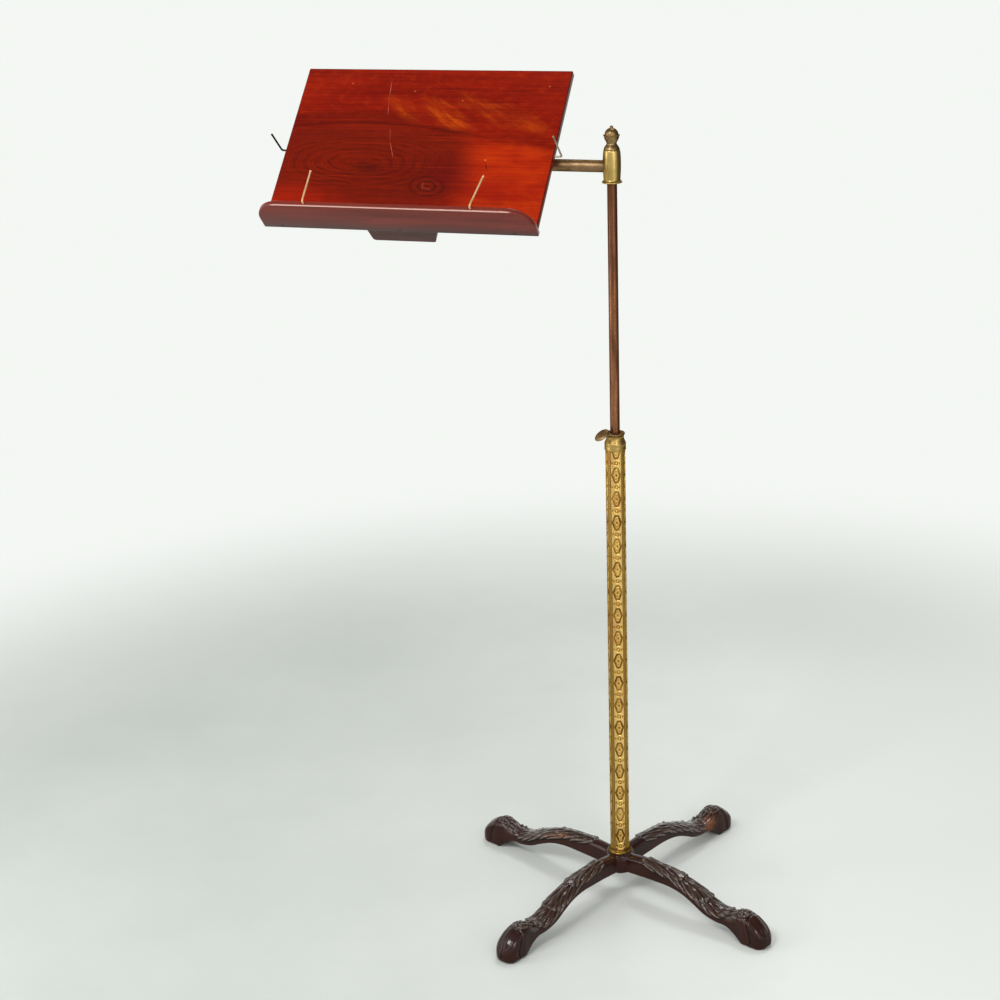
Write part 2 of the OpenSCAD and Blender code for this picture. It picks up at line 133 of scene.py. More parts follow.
def take(bm):
    """Vertices and faces of a bmesh, which is then freed."""
    bm.verts.index_update()
    verts = [v.co.copy() for v in bm.verts]
    faces = [[v.index for v in f.verts] for f in bm.faces]
    bm.free()
    return verts, faces


def ring_faces(rows, columns, closed=False):
    """Faces between rings of points, and from the last ring to the first one where closed."""
    faces = []
    for i in range(rows if closed else rows - 1):
        a = i * columns
        b = (i + 1) % rows * columns
        for j in range(columns):
            k = (j + 1) % columns
            faces.append((a + j, a + k, b + k, b + j))
    return faces


def lathe(profile, foot, columns=96):
    """Vertices and faces of a turned shape. The profile is a closed loop of (radius, height) in mm."""
    bm = bmesh.new()
    loop = profile + profile[:1]
    for radius, height in loop:
        for j in range(columns):
            a = 2 * math.pi * j / columns
            bm.verts.new((
                foot.x + radius * MM * math.cos(a), foot.y + radius * MM * math.sin(a), foot.z + height * MM))
    bm.verts.ensure_lookup_table()
    for f in ring_faces(len(loop), columns):
        bm.faces.new([bm.verts[i] for i in reversed(f)])
    bmesh.ops.remove_doubles(bm, verts=bm.verts, dist=1e-7)
    bmesh.ops.dissolve_degenerate(bm, edges=bm.edges, dist=1e-8)
    bmesh.ops.recalc_face_normals(bm, faces=bm.faces)
    return take(bm)


def lathe_mm(profile, columns):
    """A turned shape round the origin, in millimetres."""
    verts, faces = lathe(profile, Vector((0, 0, 0)), columns)
    return [Vector(v) / MM for v in verts], faces


def arc(x, z, radius, start, end, steps=8):
    """Points of a round stretch, angles in degrees."""
    points = []
    for i in range(steps + 1):
        a = math.radians(start + (end - start) * i / steps)
        points.append((x + radius * math.cos(a), z + radius * math.sin(a)))
    return points


def smooth_line(points, steps=6):
    """A smooth curve through points."""
    out = []
    for i in range(len(points) - 1):
        a = points[max(i - 1, 0)]
        b, c = points[i], points[i + 1]
        d = points[min(i + 2, len(points) - 1)]
        for k in range(steps):
            u = k / steps
            out.append(tuple(
                0.5 * (2 * b[m] + (c[m] - a[m]) * u + (2 * a[m] - 5 * b[m] + 4 * c[m] - d[m]) * u * u
                       + (3 * b[m] - a[m] - 3 * c[m] + d[m]) * u ** 3)
                for m in (0, 1)))
    out.append(points[-1])
    return out


def smooth_table(table, x):
    """Heights of a smooth curve through (x, y) pairs, at an array of places."""
    table = np.asarray(table, float)
    xs, ys = table[:, 0], table[:, 1]
    i = np.clip(np.searchsorted(xs, x, side="right") - 1, 0, len(xs) - 2)
    low = np.clip(np.arange(len(xs)) - 1, 0, None)
    high = np.clip(np.arange(len(xs)) + 1, None, len(xs) - 1)
    slopes = (ys[high] - ys[low]) / (xs[high] - xs[low])
    h = xs[i + 1] - xs[i]
    u = np.clip((x - xs[i]) / h, 0, 1)
    u2, u3 = u ** 2, u ** 3
    return ((2 * u3 - 3 * u2 + 1) * ys[i] + (u3 - 2 * u2 + u) * slopes[i] * h
            + (3 * u2 - 2 * u3) * ys[i + 1] + (u3 - u2) * slopes[i + 1] * h)


def step(x, low, high):
    """0 before low and 1 after high, with a smooth step between; low may be the larger."""
    u = np.clip((x - low) / (high - low), 0, 1)
    return u * u * (3 - 2 * u)


def bell(x, width):
    return np.exp(-(x / width) ** 2)


# Camera, from the photograph: its place seen from the column's foot, and where it looks

CAMERA_FROM_COLUMN = Vector((0.7284, -2.6158, 1.5330))
CAMERA_HEADING = math.radians(-19.0)
CAMERA_PITCH = math.radians(18.56)
CAMERA_ROLL = math.radians(-1.78)
FOCAL_PIXELS = 2033.4
FRAME_PIXELS = 1000


def make_camera():
    data = bpy.data.cameras.new("camera")
    data.sensor_width = 36
    data.lens = data.sensor_width * FOCAL_PIXELS / FRAME_PIXELS
    data.clip_start = 0.05
    data.clip_end = 60
    camera = add_object("camera", data)
    look = Vector((
        math.sin(CAMERA_HEADING) * math.cos(CAMERA_PITCH),
        math.cos(CAMERA_HEADING) * math.cos(CAMERA_PITCH),
        -math.sin(CAMERA_PITCH),
    ))
    level_right = Vector((math.cos(CAMERA_HEADING), -math.sin(CAMERA_HEADING), 0))
    level_up = level_right.cross(look)
    right = math.cos(CAMERA_ROLL) * level_right + math.sin(CAMERA_ROLL) * level_up
    up = math.cos(CAMERA_ROLL) * level_up - math.sin(CAMERA_ROLL) * level_right
    turn = Matrix((right, up, -look)).transposed().to_4x4()
    camera.matrix_world = Matrix.Translation(column + CAMERA_FROM_COLUMN) @ turn
    bpy.context.scene.camera = camera


make_camera()


# Material nodes

def srgb(*screen):
    """A colour as it looks on screen, in whole numbers up to 255, as linear values."""
    return tuple(v / 255 / 12.92 if v <= 10 else ((v / 255 + 0.055) / 1.055) ** 2.4 for v in screen)


def feed(tree, socket, value):
    """Link a field to a socket, or set the socket's own value."""
    if isinstance(value, Field):
        tree.links.new(value.socket, socket)
    else:
        socket.default_value = (*value, 1) if socket.type == "RGBA" else value


def add_node(tree, kind, **values):
    """A new shader node, with the named inputs fed."""
    node = tree.nodes.new("ShaderNode" + kind)
    for name, value in values.items():
        feed(tree, node.inputs[name.replace("_", " ")], value)
    return node


class Field:
    """A number, colour or place that varies over a surface, made of shader nodes."""

    def __init__(self, tree, socket):
        self.tree = tree
        self.socket = socket

    def math(self, operation, *others, clamp=False):
        node = add_node(self.tree, "Math")
        node.operation = operation
        node.use_clamp = clamp
        for socket, value in zip(node.inputs, (self,) + others):
            feed(self.tree, socket, value)
        return Field(self.tree, node.outputs[0])

    def __add__(self, other):
        return self.math("ADD", other)

    def __sub__(self, other):
        return self.math("SUBTRACT", other)

    def __mul__(self, other):
        return self.math("MULTIPLY", other)

    def __truediv__(self, other):
        return self.math("DIVIDE", other)

    def power(self, other):
        return self.math("POWER", other)

    def absolute(self):
        return self.math("ABSOLUTE")

    def root(self):
        return self.math("SQRT")

    def wave(self):
        """A wave between 0 and 1."""
        return self.math("SINE") * 0.5 + 0.5

    def clamped(self):
        return self.math("ADD", 0.0, clamp=True)

    def steps(self, low, high):
        """0 below low and 1 above high, with a smooth step between; low may be the larger."""
        turned = low > high
        node = add_node(self.tree, "MapRange", Value=self, From_Min=min(low, high), From_Max=max(low, high),
                        To_Min=float(turned), To_Max=float(not turned))
        node.interpolation_type = "SMOOTHSTEP"
        return Field(self.tree, node.outputs["Result"])


class Surface:
    """A procedural material around one Principled shader, with the colour laid on so far."""

    def __init__(self, name):
        self.material = bpy.data.materials.new(name)
        self.material.use_nodes = True
        self.tree = self.material.node_tree
        self.shader = self.tree.nodes["Principled BSDF"]
        self.space = self.node("TexCoord", "Object")
        self.colour = None

    def node(self, kind, output, **values):
        """One output of a new node."""
        return Field(self.tree, add_node(self.tree, kind, **values).outputs[output])

    def axis(self, index):
        """One coordinate of the piece's own space, in metres."""
        return self.node("SeparateXYZ", index, Vector=self.space)

    def axis_mm(self, index):
        return self.axis(index) * 1000.0

    def noise(self, scale, stretch=(1, 1, 1), detail=3, roughness=0.6, distortion=0.0, move=(0, 0, 0),
              turn=(0, 0, 0)):
        place = self.space
        if stretch != (1, 1, 1) or move != (0, 0, 0) or turn != (0, 0, 0):
            place = self.node("Mapping", "Vector", Vector=place, Scale=stretch, Location=move, Rotation=turn)
        return self.node("TexNoise", "Fac", Vector=place, Scale=scale, Detail=detail, Roughness=roughness,
                         Distortion=distortion)

    def flow(self, x, y, detail, roughness):
        """Noise at the place that two fields give."""
        place = self.node("CombineXYZ", 0, X=x, Y=y)
        return self.node("TexNoise", "Fac", Vector=place, Scale=1.0, Detail=detail, Roughness=roughness)

    def attribute(self, name):
        node = add_node(self.tree, "Attribute")
        node.attribute_name = name
        return Field(self.tree, node.outputs["Fac"])

    def mix(self, amount, first, second):
        node = add_node(self.tree, "Mix")
        node.data_type = "RGBA"
        sockets = [node.inputs[0]] + [socket for socket in node.inputs if socket.type == "RGBA"]
        for socket, value in zip(sockets, (amount, first, second)):
            feed(self.tree, socket, value)
        return Field(self.tree, next(socket for socket in node.outputs if socket.type == "RGBA"))

    def tint(self, amount, red, green, blue):
        """Lay a screen colour over the colour so far, by amount."""
        self.colour = self.mix(amount, self.colour, srgb(red, green, blue))

    def bump(self, height, depth, strength):
        normal = self.node("Bump", 0, Strength=strength, Distance=depth, Height=height)
        feed(self.tree, self.shader.inputs["Normal"], normal)

    def finish(self, **values):
        """Feed the shader the colour and the named inputs, and give the material."""
        for name, value in {"Base_Color": self.colour, **values}.items():
            feed(self.tree, self.shader.inputs[name.replace("_", " ")], value)
        return self.material


# Metals and paint

def turned_brass(name, bright, dull, roughness=0.2, rim=None, grain=0.35, metallic=1.0, spotted=0.45):
    """Brass with dull clouds and dark spots. rim tints what it mirrors at a glancing view."""
    s = Surface(name)
    cloud = s.noise(45, detail=5).steps(0.35, 0.7)
    spots = s.noise(260, detail=4, roughness=0.7).steps(0.6, 0.78)
    s.colour = s.mix(cloud, srgb(*bright), srgb(*dull))
    s.colour = s.mix(spots * spotted, s.colour, tuple(0.35 * c for c in srgb(*dull)))
    fine = s.noise(900, stretch=(1, 1, 3), detail=2, roughness=0.5)
    s.bump(fine + spots * -0.4, 0.00006, grain)
    return s.finish(Metallic=metallic, Roughness=cloud * 0.12 + (fine * 0.06 + roughness),
                    Specular_Tint=srgb(*(rim or dull)))


def aged_rod():
    """Drawn brass with a brown patina, and painted shade that darkens it towards its top, under the head and
    the desk.
    """
    s = Surface("rod_patina")
    streak = s.noise(60, stretch=(3, 3, 0.25), detail=5).steps(0.3, 0.7)
    spots = s.noise(320, stretch=(1, 1, 0.5), detail=4, roughness=0.7).steps(0.55, 0.75)
    s.colour = s.mix(streak, srgb(156, 106, 74), srgb(98, 60, 40))
    # Painted shade: the rod is darker towards its top, where the head and the desk shade it.
    s.tint(s.axis(2).steps(0.82, 1.04) * 0.6, 90, 54, 40)
    s.tint(spots * 0.6, 56, 36, 28)
    s.bump(streak + spots, 0.00008, 0.3)
    return s.finish(Metallic=0.8, Roughness=streak * 0.12 + 0.27, Specular_Tint=srgb(120, 84, 62))


def dark_steel():
    s = Surface("dark_steel")
    cloud = s.noise(120, detail=4, roughness=0.65).steps(0.3, 0.75)
    rust = s.noise(300, detail=5, roughness=0.7, move=(3, 1, 2)).steps(0.58, 0.72)
    s.colour = s.mix(cloud, srgb(112, 108, 102), srgb(70, 66, 62))
    s.tint(rust * 0.6, 88, 52, 32)
    s.bump(cloud + rust, 0.0001, 0.3)
    return s.finish(Metallic=0.9, Roughness=cloud * 0.2 + 0.35)


def stamped_brass():
    """Gilt on the raised pattern, with a painted highlight on its highest points, dark lacquer and dirt in
    the hollows.
    """
    s = Surface("stamped_brass")
    relief = s.attribute("relief")
    panel = s.attribute("panel")
    hollow = relief.steps(0.6, 0.1)
    cloud = s.noise(34, detail=4).steps(0.3, 0.72)
    dirt = s.noise(60, move=(2, 7, 3)).steps(0.35, 0.62) * 0.45 + 0.5
    red = s.noise(26, stretch=(1, 1, 0.6), move=(5, 2, 1), roughness=0.5).steps(0.56, 0.74)
    s.colour = s.mix(cloud, srgb(228, 184, 102), srgb(198, 152, 76))
    # Painted highlight: the highest relief is painted paler.
    s.tint(relief.steps(0.72, 0.98) * 0.7, 255, 224, 150)
    s.tint(panel.steps(1.0, 0.0) * 0.8, 148, 118, 62)
    s.tint(hollow * dirt, 96, 60, 18)
    s.tint(red * 0.4, 170, 106, 58)
    grain = s.noise(700)
    dents = s.noise(150, stretch=(1, 1, 0.6), move=(1, 3, 2))
    s.bump(relief + dents * 0.5 + grain * 0.1, 0.0005, 0.5)
    return s.finish(Metallic=1.0, Roughness=hollow * 0.2 + (grain * 0.14 + 0.16),
                    Specular_Tint=srgb(140, 112, 60))


def foot_paint():
    """Brown gloss paint over cast iron, paler on the leaves from dust and a painted sheen, with painted shade
    in its hollows, worn high points with a painted highlight, and worn through on one toe.
    """
    s = Surface("foot_paint")
    relief = s.attribute("relief")
    cloud = s.noise(26, detail=5).steps(0.3, 0.72)
    grain = s.noise(420, detail=4, roughness=0.65)
    chips = s.noise(160, detail=6, roughness=0.75).steps(0.44, 0.64)
    s.colour = s.mix(cloud, srgb(55, 27, 20), srgb(40, 19, 14))
    # Paler paint on the carved leaves: partly dust, partly painted sheen where their tops catch the light.
    s.tint(s.attribute("carved") * (cloud * 0.3 + 0.12), 84, 66, 52)
    # Painted shade in the low hollows of the carving.
    s.tint(relief.steps(0.5, 0.2) * 0.9, 18, 9, 7)
    # Worn high points of the relief: paler paint, which is partly a painted highlight, with some bare metal.
    rubbed_and_highlight = relief.steps(0.6, 0.95) * (chips * 0.6 + 0.4)
    s.tint(rubbed_and_highlight * 0.4, 164, 142, 124)
    s.tint((s.attribute("wear") * (chips * 0.75 + 0.35)).clamped(), 146, 78, 24)
    s.bump(grain + chips * -0.5, 0.00025, 0.3)
    return s.finish(Metallic=rubbed_and_highlight * 0.5, Roughness=cloud * 0.1 + (grain * 0.1 + 0.16),
                    Specular_IOR_Level=0.12, Coat_Weight=s.attribute("gloss"), Coat_Roughness=0.06)


# Desk sizes, in metres in the desk's own space: X along its width, Y up the slope, Z out of its face

BOARD_BACK = 0.0174
BOARD_FACE = 0.0274
BOARD_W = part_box("desk_board")[1].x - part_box("desk_board")[0].x
BOARD_L = 0.255
BOARD_LOW = 0.0086 - BOARD_L / 2
BOARD_TOP = BOARD_LOW + BOARD_L
BOARD_ARRIS = 0.0013
WORN_EDGE = 0.0009
LEDGE_W = 0.394
LEDGE_T = 0.0075
LEDGE_TOP = BOARD_BACK + 0.055
LEDGE_R = 0.036
LEDGE_ARRIS = 0.0016


# Woods. The grain runs along the desk's width.

# Marks on the board, in mm from a point MARKS_UP above the arm: lines as (x, y, x, y) and spots as (x, y)
MARKS_UP = 1.4
SCRATCHES = [(-65, 116, -62, 87), (-62, 87, -57, 56), (-48, 34, -44, 14), (-44, 14, -32, -16)]
SPECKS = [(-122, 109), (-26, 97), (47, 82), (167, 108)]
CRACK = (101, -18, 108, -34)
CHIP = (101, -15.5)
KNOT_CRACKS = [(20, -53, 22, -66), (22, -62, 34, -66)]

# Flames in the wood, as (x, y, half length, half width, slope) and strength
FLAME_SLOPE = -0.6
FLAMES = [((-39, 71, 38, 12, -0.75), 0.5), ((28, 58, 54, 17, -0.64), 0.7), ((74, 72, 60, 14, -0.54), 0.42),
          ((140, 52, 56, 15, -0.48), 0.42)]


def spot(s, x, y, half_x, half_y, turn=0.0):
    """Distance from a place on the desk, 1 on an ellipse of the given half sizes. Millimetres."""
    px = s.axis_mm(0) - x
    py = s.axis_mm(1) - y - MARKS_UP
    along = px * math.cos(turn) + py * math.sin(turn)
    across = py * math.cos(turn) - px * math.sin(turn)
    return ((along / half_x).power(2) + (across / half_y).power(2)).root()


def mark(s, line, half_width):
    """Distance from a line on the desk, 1 at its ends and half_width beside it."""
    x0, y0, x1, y1 = line
    turn = math.atan2(y1 - y0, x1 - x0)
    return spot(s, (x0 + x1) / 2, (y0 + y1) / 2, math.hypot(x1 - x0, y1 - y0) / 2, half_width, turn)


def sway(noise, size):
    """A noise as a shift to either side of 0."""
    return (noise - 0.5) * size


class BoardGrain:
    """Places on the board in millimetres, and the noises that its figure shares."""

    def __init__(self, s):
        self.x = s.axis_mm(0)
        self.y = s.axis_mm(1) - MARKS_UP
        self.drift = s.noise(7, stretch=(0.7, 2.0, 1), detail=4, roughness=0.55)
        self.bands = s.noise(16, stretch=(0.2, 3.2, 1), detail=5, distortion=0.3)
        self.fibre = s.noise(70, stretch=(0.09, 5.5, 1), detail=4)
        self.pores = s.noise(260, stretch=(0.07, 5.0, 1))
        self.blotch = s.noise(38, stretch=(0.7, 1.2, 1), detail=5, roughness=0.65, move=(2, 1, 0))


def broad_figure(s, g):
    """Red wood with darker bands and a fine mottle."""
    mottle = s.noise(120, stretch=(0.6, 1, 1), detail=4, roughness=0.7, move=(4, 0, 0))
    s.colour = s.mix(g.drift.steps(0.3, 0.7), srgb(150, 28, 5), srgb(126, 16, 4))
    s.tint(g.bands.steps(0.45, 0.7) * 0.38, 96, 12, 4)
    s.tint(mottle.steps(0.5, 0.72) * 0.3, 182, 52, 14)
    s.tint(mottle.steps(0.5, 0.3) * 0.3, 96, 16, 10)


def arched_figure(s, g):
    """Brown arches round a long heart, with thin lines that bend with the wood."""
    dx = (g.x + 72.0) * 0.34
    dy = g.y + 27.0 + g.x * 0.03
    level = (dx * dx + dy * dy).root() + (sway(g.drift, 26.0) + sway(g.bands, 8.0))
    s.tint(level.steps(82, 58) * 0.6, 106, 24, 9)
    arches = (level * 0.98 + sway(g.blotch, 2.5)).wave().power(3) * level.steps(62, 20)
    s.tint(arches * (g.blotch.steps(0.25, 0.7) * 0.5 + 0.1), 62, 13, 6)
    lines = (level * 2.7 + sway(g.fibre, 3.0)).wave().power(2) * level.steps(72, 40)
    s.tint(lines * 0.3, 70, 14, 6)
    heart = spot(s, -62, -33, 20, 8) + sway(g.drift, 1.2)
    s.tint(heart.steps(1.3, 0.3) * 0.5, 68, 16, 8)
    bow = (g.x + 90.0) * (g.x + 90.0) * 0.00068 + g.y - 43.0 + sway(g.drift, 9.0)
    s.tint(bow.absolute().steps(4.5, 0.4) * g.x.steps(150, 20) * (g.fibre * 0.5 + 0.3), 70, 12, 6)
    s.tint((bow - 12.0).absolute().steps(15, 2) * g.x.steps(40, -60) * 0.45, 84, 16, 7)


def bright_wood(s, g):
    """Orange wood at the lower right, and a warm patch at the lower left."""
    edge = g.y + g.x * 0.26 + sway(g.bands, 20.0) + sway(g.blotch, 16.0)
    glow = s.mix((g.bands * 0.6 + g.blotch * 0.4).steps(0.35, 0.65), srgb(204, 58, 6), srgb(166, 30, 5))
    s.colour = s.mix(g.x.steps(48, 100) * edge.steps(58, 30) * 0.85, s.colour, glow)
    left = spot(s, -158, -92, 74, 34) + sway(g.bands, 1.4) + sway(g.blotch, 0.8)
    s.tint(left.steps(1.25, 0.3) * 0.55, 176, 32, 6)


def flames(s, g):
    """Orange flames that climb to the left, broken into licks."""
    along = (g.x * math.cos(FLAME_SLOPE) + g.y * math.sin(FLAME_SLOPE)) * 0.022
    across = (g.y * math.cos(FLAME_SLOPE) - g.x * math.sin(FLAME_SLOPE)) * 0.12
    licks = s.flow(along, across, detail=5, roughness=0.65).steps(0.42, 0.66) * 0.8 + 0.2
    for place, strength in FLAMES:
        strand = spot(s, *place) + sway(g.bands, 1.6)
        s.tint(strand.steps(1.3, 0.1) * licks * strength, 204, 80, 8)


def knot_wood(s, g):
    """The knot with its rings and cracks, and the crimson wood beside it."""
    crimson = spot(s, 52, -42, 46, 34) + sway(g.drift, 1.2) + sway(g.blotch, 0.8)
    s.tint(crimson.steps(1.3, 0.2) * 0.5, 104, 12, 12)
    knot = spot(s, 27, -60, 22, 14, -0.14) + sway(g.drift, 0.6) + sway(g.blotch, 0.25)
    s.tint(knot.steps(1.15, 0.7) * 0.35, 124, 30, 12)
    rings = (knot * 11.5 + 0.6).wave().power(3) * knot.steps(1.5, 0.95)
    s.tint(rings * (g.blotch.steps(0.2, 0.6) * 0.5 + 0.3), 58, 12, 8)
    upright, level = KNOT_CRACKS
    s.tint(mark(s, upright, 1.0).steps(1.4, 0.5) * 0.5, 150, 66, 44)
    s.tint(mark(s, level, 0.9).steps(1.4, 0.5) * 0.5, 140, 58, 40)


def board_marks(s):
    """Scratches, specks, a short crack and a chip, on the board's face only."""
    face = s.axis(2).steps(BOARD_BACK + 0.001, BOARD_FACE - 0.001)
    broken = s.noise(160, roughness=0.5).steps(0.36, 0.55)
    for line in SCRATCHES:
        s.tint(mark(s, line, 0.5).steps(1.2, 0.5) * (broken * 0.4 + 0.25) * face, 206, 112, 92)
    for place in SPECKS:
        s.tint(spot(s, *place, 1.5, 1.3).steps(1.2, 0.4) * face * 0.6, 226, 110, 60)
    s.tint(mark(s, CRACK, 0.8).steps(1.2, 0.4) * (broken * 0.6 + 0.3) * face, 56, 12, 8)
    s.tint(spot(s, *CHIP, 1.8, 1.5).steps(1.2, 0.4) * face * 0.8, 240, 120, 50)


def board_wood():
    """Polished red mahogany, from its broad figure down to its pores, marks and worn edges."""
    s = Surface("board_mahogany")
    g = BoardGrain(s)
    broad_figure(s, g)
    arched_figure(s, g)
    bright_wood(s, g)
    flames(s, g)
    knot_wood(s, g)
    s.tint(g.fibre.steps(0.44, 0.78) * 0.4, 78, 12, 4)
    s.tint(g.fibre.steps(0.5, 0.25) * 0.22, 190, 52, 12)
    s.tint(g.pores.steps(0.56, 0.74) * 0.45, 60, 10, 4)
    board_marks(s)
    s.tint(s.attribute("edge") * 0.75, 50, 20, 18)
    s.bump(g.fibre * 0.6 + g.pores, 0.00012, 0.2)
    return s.finish(Roughness=g.drift * 0.1 + (g.fibre * 0.06 + 0.2), Specular_IOR_Level=0.07,
                    Coat_Weight=0.04, Coat_Roughness=0.06)


def plain_wood(name, base, dark, turn=(0, 0, 0), bright_arris=False):
    """Duller mahogany. A ledge with a bright arris has a worn upper edge with a painted highlight, and
    painted shade along its lower one.
    """
    s = Surface(name)
    bands = s.noise(16, stretch=(0.25, 2.2, 2.2), detail=5, distortion=0.3, turn=turn)
    lines = s.noise(70, stretch=(0.12, 4.0, 4.0), detail=4, turn=turn)
    pores = s.noise(260, stretch=(0.08, 4.0, 4.0), turn=turn)
    s.colour = s.mix(bands.steps(0.3, 0.7), srgb(*base), srgb(*dark))
    s.tint(lines.steps(0.5, 0.8) * 0.4, 60, 24, 20)
    s.tint(pores.steps(0.6, 0.75) * 0.4, 48, 20, 18)
    gloss = 0.15
    if bright_arris:
        bright = s.attribute("arris")
        # Painted shade along the lower front arris.
        s.tint(s.attribute("low_arris_shade") * 0.7, 34, 14, 12)
        # Painted highlight: the upper front arris is worn paler and painted near white, with a glossier coat.
        s.tint(bright * (lines * 0.3 + 0.7), 255, 206, 192)
        gloss = bright * 0.85 + gloss
    s.bump(lines * 0.6 + pores, 0.00014, 0.3)
    return s.finish(Roughness=bands * 0.12 + 0.26, Specular_IOR_Level=0.22, Coat_Weight=gloss,
                    Coat_Roughness=0.1)


BRASS = turned_brass("brass", (206, 172, 98), (160, 126, 62), rim=(100, 76, 32))
COLLAR_BRASS = turned_brass("collar_brass", (184, 154, 92), (140, 112, 58), roughness=0.32, rim=(92, 74, 36),
                            grain=0.03, spotted=0.12)
FOOT_BRASS = turned_brass("foot_brass", (164, 128, 64), (104, 76, 34), roughness=0.28, rim=(80, 58, 24))
BARREL_BRASS = turned_brass("head_brass", (198, 170, 104), (168, 140, 78), roughness=0.26, rim=(110, 86, 48),
                            grain=0.02, spotted=0.1)
FINIAL_BRASS = turned_brass("finial_brass", (150, 124, 84), (116, 92, 58), roughness=0.34, rim=(90, 72, 44),
                            grain=0.02, spotted=0.15)
ARM_BRASS = turned_brass("arm_brass", (148, 120, 88), (104, 78, 52), roughness=0.4, grain=0.15)
BRONZE = turned_brass("aged_bronze", (150, 122, 84), (108, 84, 54), roughness=0.4, grain=0.08)
WIRE = turned_brass("wire_brass", (236, 196, 146), (206, 160, 106), roughness=0.4, metallic=0.5)
PALE_WIRE = turned_brass("pale_wire", (206, 192, 166), (150, 134, 108), roughness=0.35, metallic=0.7)
DARK_WIRE = turned_brass("dark_wire", (92, 78, 60), (52, 42, 32), roughness=0.3)
ROD = aged_rod()
STEEL = dark_steel()
STAMPED = stamped_brass()
PAINT = foot_paint()
BOARD = board_wood()
LEDGE = plain_wood("ledge_mahogany", (124, 46, 34), (96, 34, 25), bright_arris=True)
BLOCK = plain_wood("block_mahogany", (92, 52, 44), (68, 36, 30), turn=(-desk_tilt, 0, 0))


# Foot: four legs and a hub, joined, then carved with leaves and scrolls. Millimetres.

TOE_R = 270
NOSE_L = 16.5
LEG_TURN = 66.5
LEG_START = 18
HUB_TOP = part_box("foot_ring")[0].z / MM
HUB_UNDER = 38
SOLE = (233, 260)

# Along a leg from the column: the height of its crest and of its underside, and half its width
LEG_CREST = [
    (LEG_START, HUB_TOP - 0.5), (45, HUB_TOP + 2), (75, HUB_TOP + 1), (100, HUB_TOP - 1.5), (125, 59.5),
    (145, 52.5), (165, 43.5), (185, 36), (197, 35.5), (210, 40), (222, 45), (231, 46), (242, 43), (252, 37),
    (260, 30), (266, 22), (TOE_R, 14)]
LEG_UNDER = [
    (LEG_START, 40), (60, 42.5), (100, 44), (125, 40.5), (145, 33), (165, 23.5), (185, 19), (203, 18),
    (216, 12.5), (226, 5), (233, 0), (260, 0), (266, 2), (TOE_R, 6)]
LEG_HALF = [
    (LEG_START, 10.5), (60, 10.8), (110, 12.6), (150, 14.6), (185, 14.8), (205, 14.4), (222, 15.2), (240, 17),
    (TOE_R, 17)]


def leg_sides(r):
    past = np.maximum(r - (TOE_R - NOSE_L), 0) / NOSE_L
    return smooth_table(LEG_HALF, r) * np.sqrt(np.maximum(0.001, 1 - past ** 2))


def leg_floor(r):
    return np.where((r > SOLE[0] - 1) & (r < SOLE[1] + 1), 0, np.maximum(0, smooth_table(LEG_UNDER, r)))


def leg_cap(half, low, high):
    """Height of the rounded top of a leg."""
    return np.minimum(half * 0.75, (high - low) * 0.45)


def leg_mesh(turn):
    nose = TOE_R - NOSE_L + NOSE_L * np.sin(np.radians(np.linspace(6, 87, 14)))
    places = np.concatenate([np.linspace(20, TOE_R - NOSE_L, 110), nose])
    half = leg_sides(places)
    low = leg_floor(places)
    high = smooth_table(LEG_CREST, places)
    cap = leg_cap(half, low, high)
    edge = np.minimum(1.5 + 3.5 * step(places, 222, 242), half * 0.4)
    rows = []
    for r, w, z0, z1, c, e in zip(places, half, low, high, cap, edge):
        loop = [(-w + e - e * math.cos(a), z0 + e - e * math.sin(a)) for a in np.radians((0, 30, 60, 90))]
        loop += [(-y, z) for y, z in reversed(loop)]
        loop += [(w * math.cos(a), z1 - c + c * math.sin(a)) for a in map(math.radians, range(0, 181, 12))]
        rows.append([(r, y, z) for y, z in loop])
    columns = len(rows[0])
    cos, sin = math.cos(math.radians(turn)), math.sin(math.radians(turn))
    verts = [(x * cos - y * sin, x * sin + y * cos, z) for row in rows for x, y, z in row]
    faces = ring_faces(len(rows), columns)
    faces.append(tuple(reversed(range(columns))))
    faces.append(tuple(range((len(rows) - 1) * columns, len(rows) * columns)))
    return verts, faces


# Carving: where each leaf starts and ends on a leg, and how far its lobes reach down the sides
LEAVES = [(46, 122, 1.05), (98, 168, 1.2), (142, 206, 1.2)]
LOBE_PITCH = 20
LOBE_SWEEP = 56
FLUTES = (198, 224)
FLUTE_PITCH = 6.4
FLOWER_AT = 227
FLOWER_R = 13.5
HOOF_AT = 240
TOE_TOP = 46


def leg_place(co):
    """Where points lie on their leg: along it, across it, their girth and the leg's number.

    girth is 0 on the crest, 1 on the shoulder and more down the side."""
    radius = np.hypot(co[:, 0], co[:, 1])
    turn = np.degrees(np.arctan2(co[:, 1], co[:, 0])) - LEG_TURN
    leg = np.round(turn / 90)
    off = np.radians(turn - 90 * leg)
    along, across = radius * np.cos(off), radius * np.sin(off)
    z = co[:, 2]
    half = leg_sides(np.clip(along, LEG_START, TOE_R - 0.2))
    high = smooth_table(LEG_CREST, np.clip(along, LEG_START, TOE_R))
    cap = leg_cap(half, leg_floor(along), high)
    shoulder = high - cap
    lift = np.maximum(0, z - shoulder) / np.maximum(cap, 0.1)
    girth = 1 - np.degrees(np.arctan2(lift, np.abs(across) / np.maximum(half, 1))) / 90
    girth = np.where(z < shoulder, 1 + (shoulder - z) / 11, girth)
    return along, across, girth, np.mod(leg, 4)


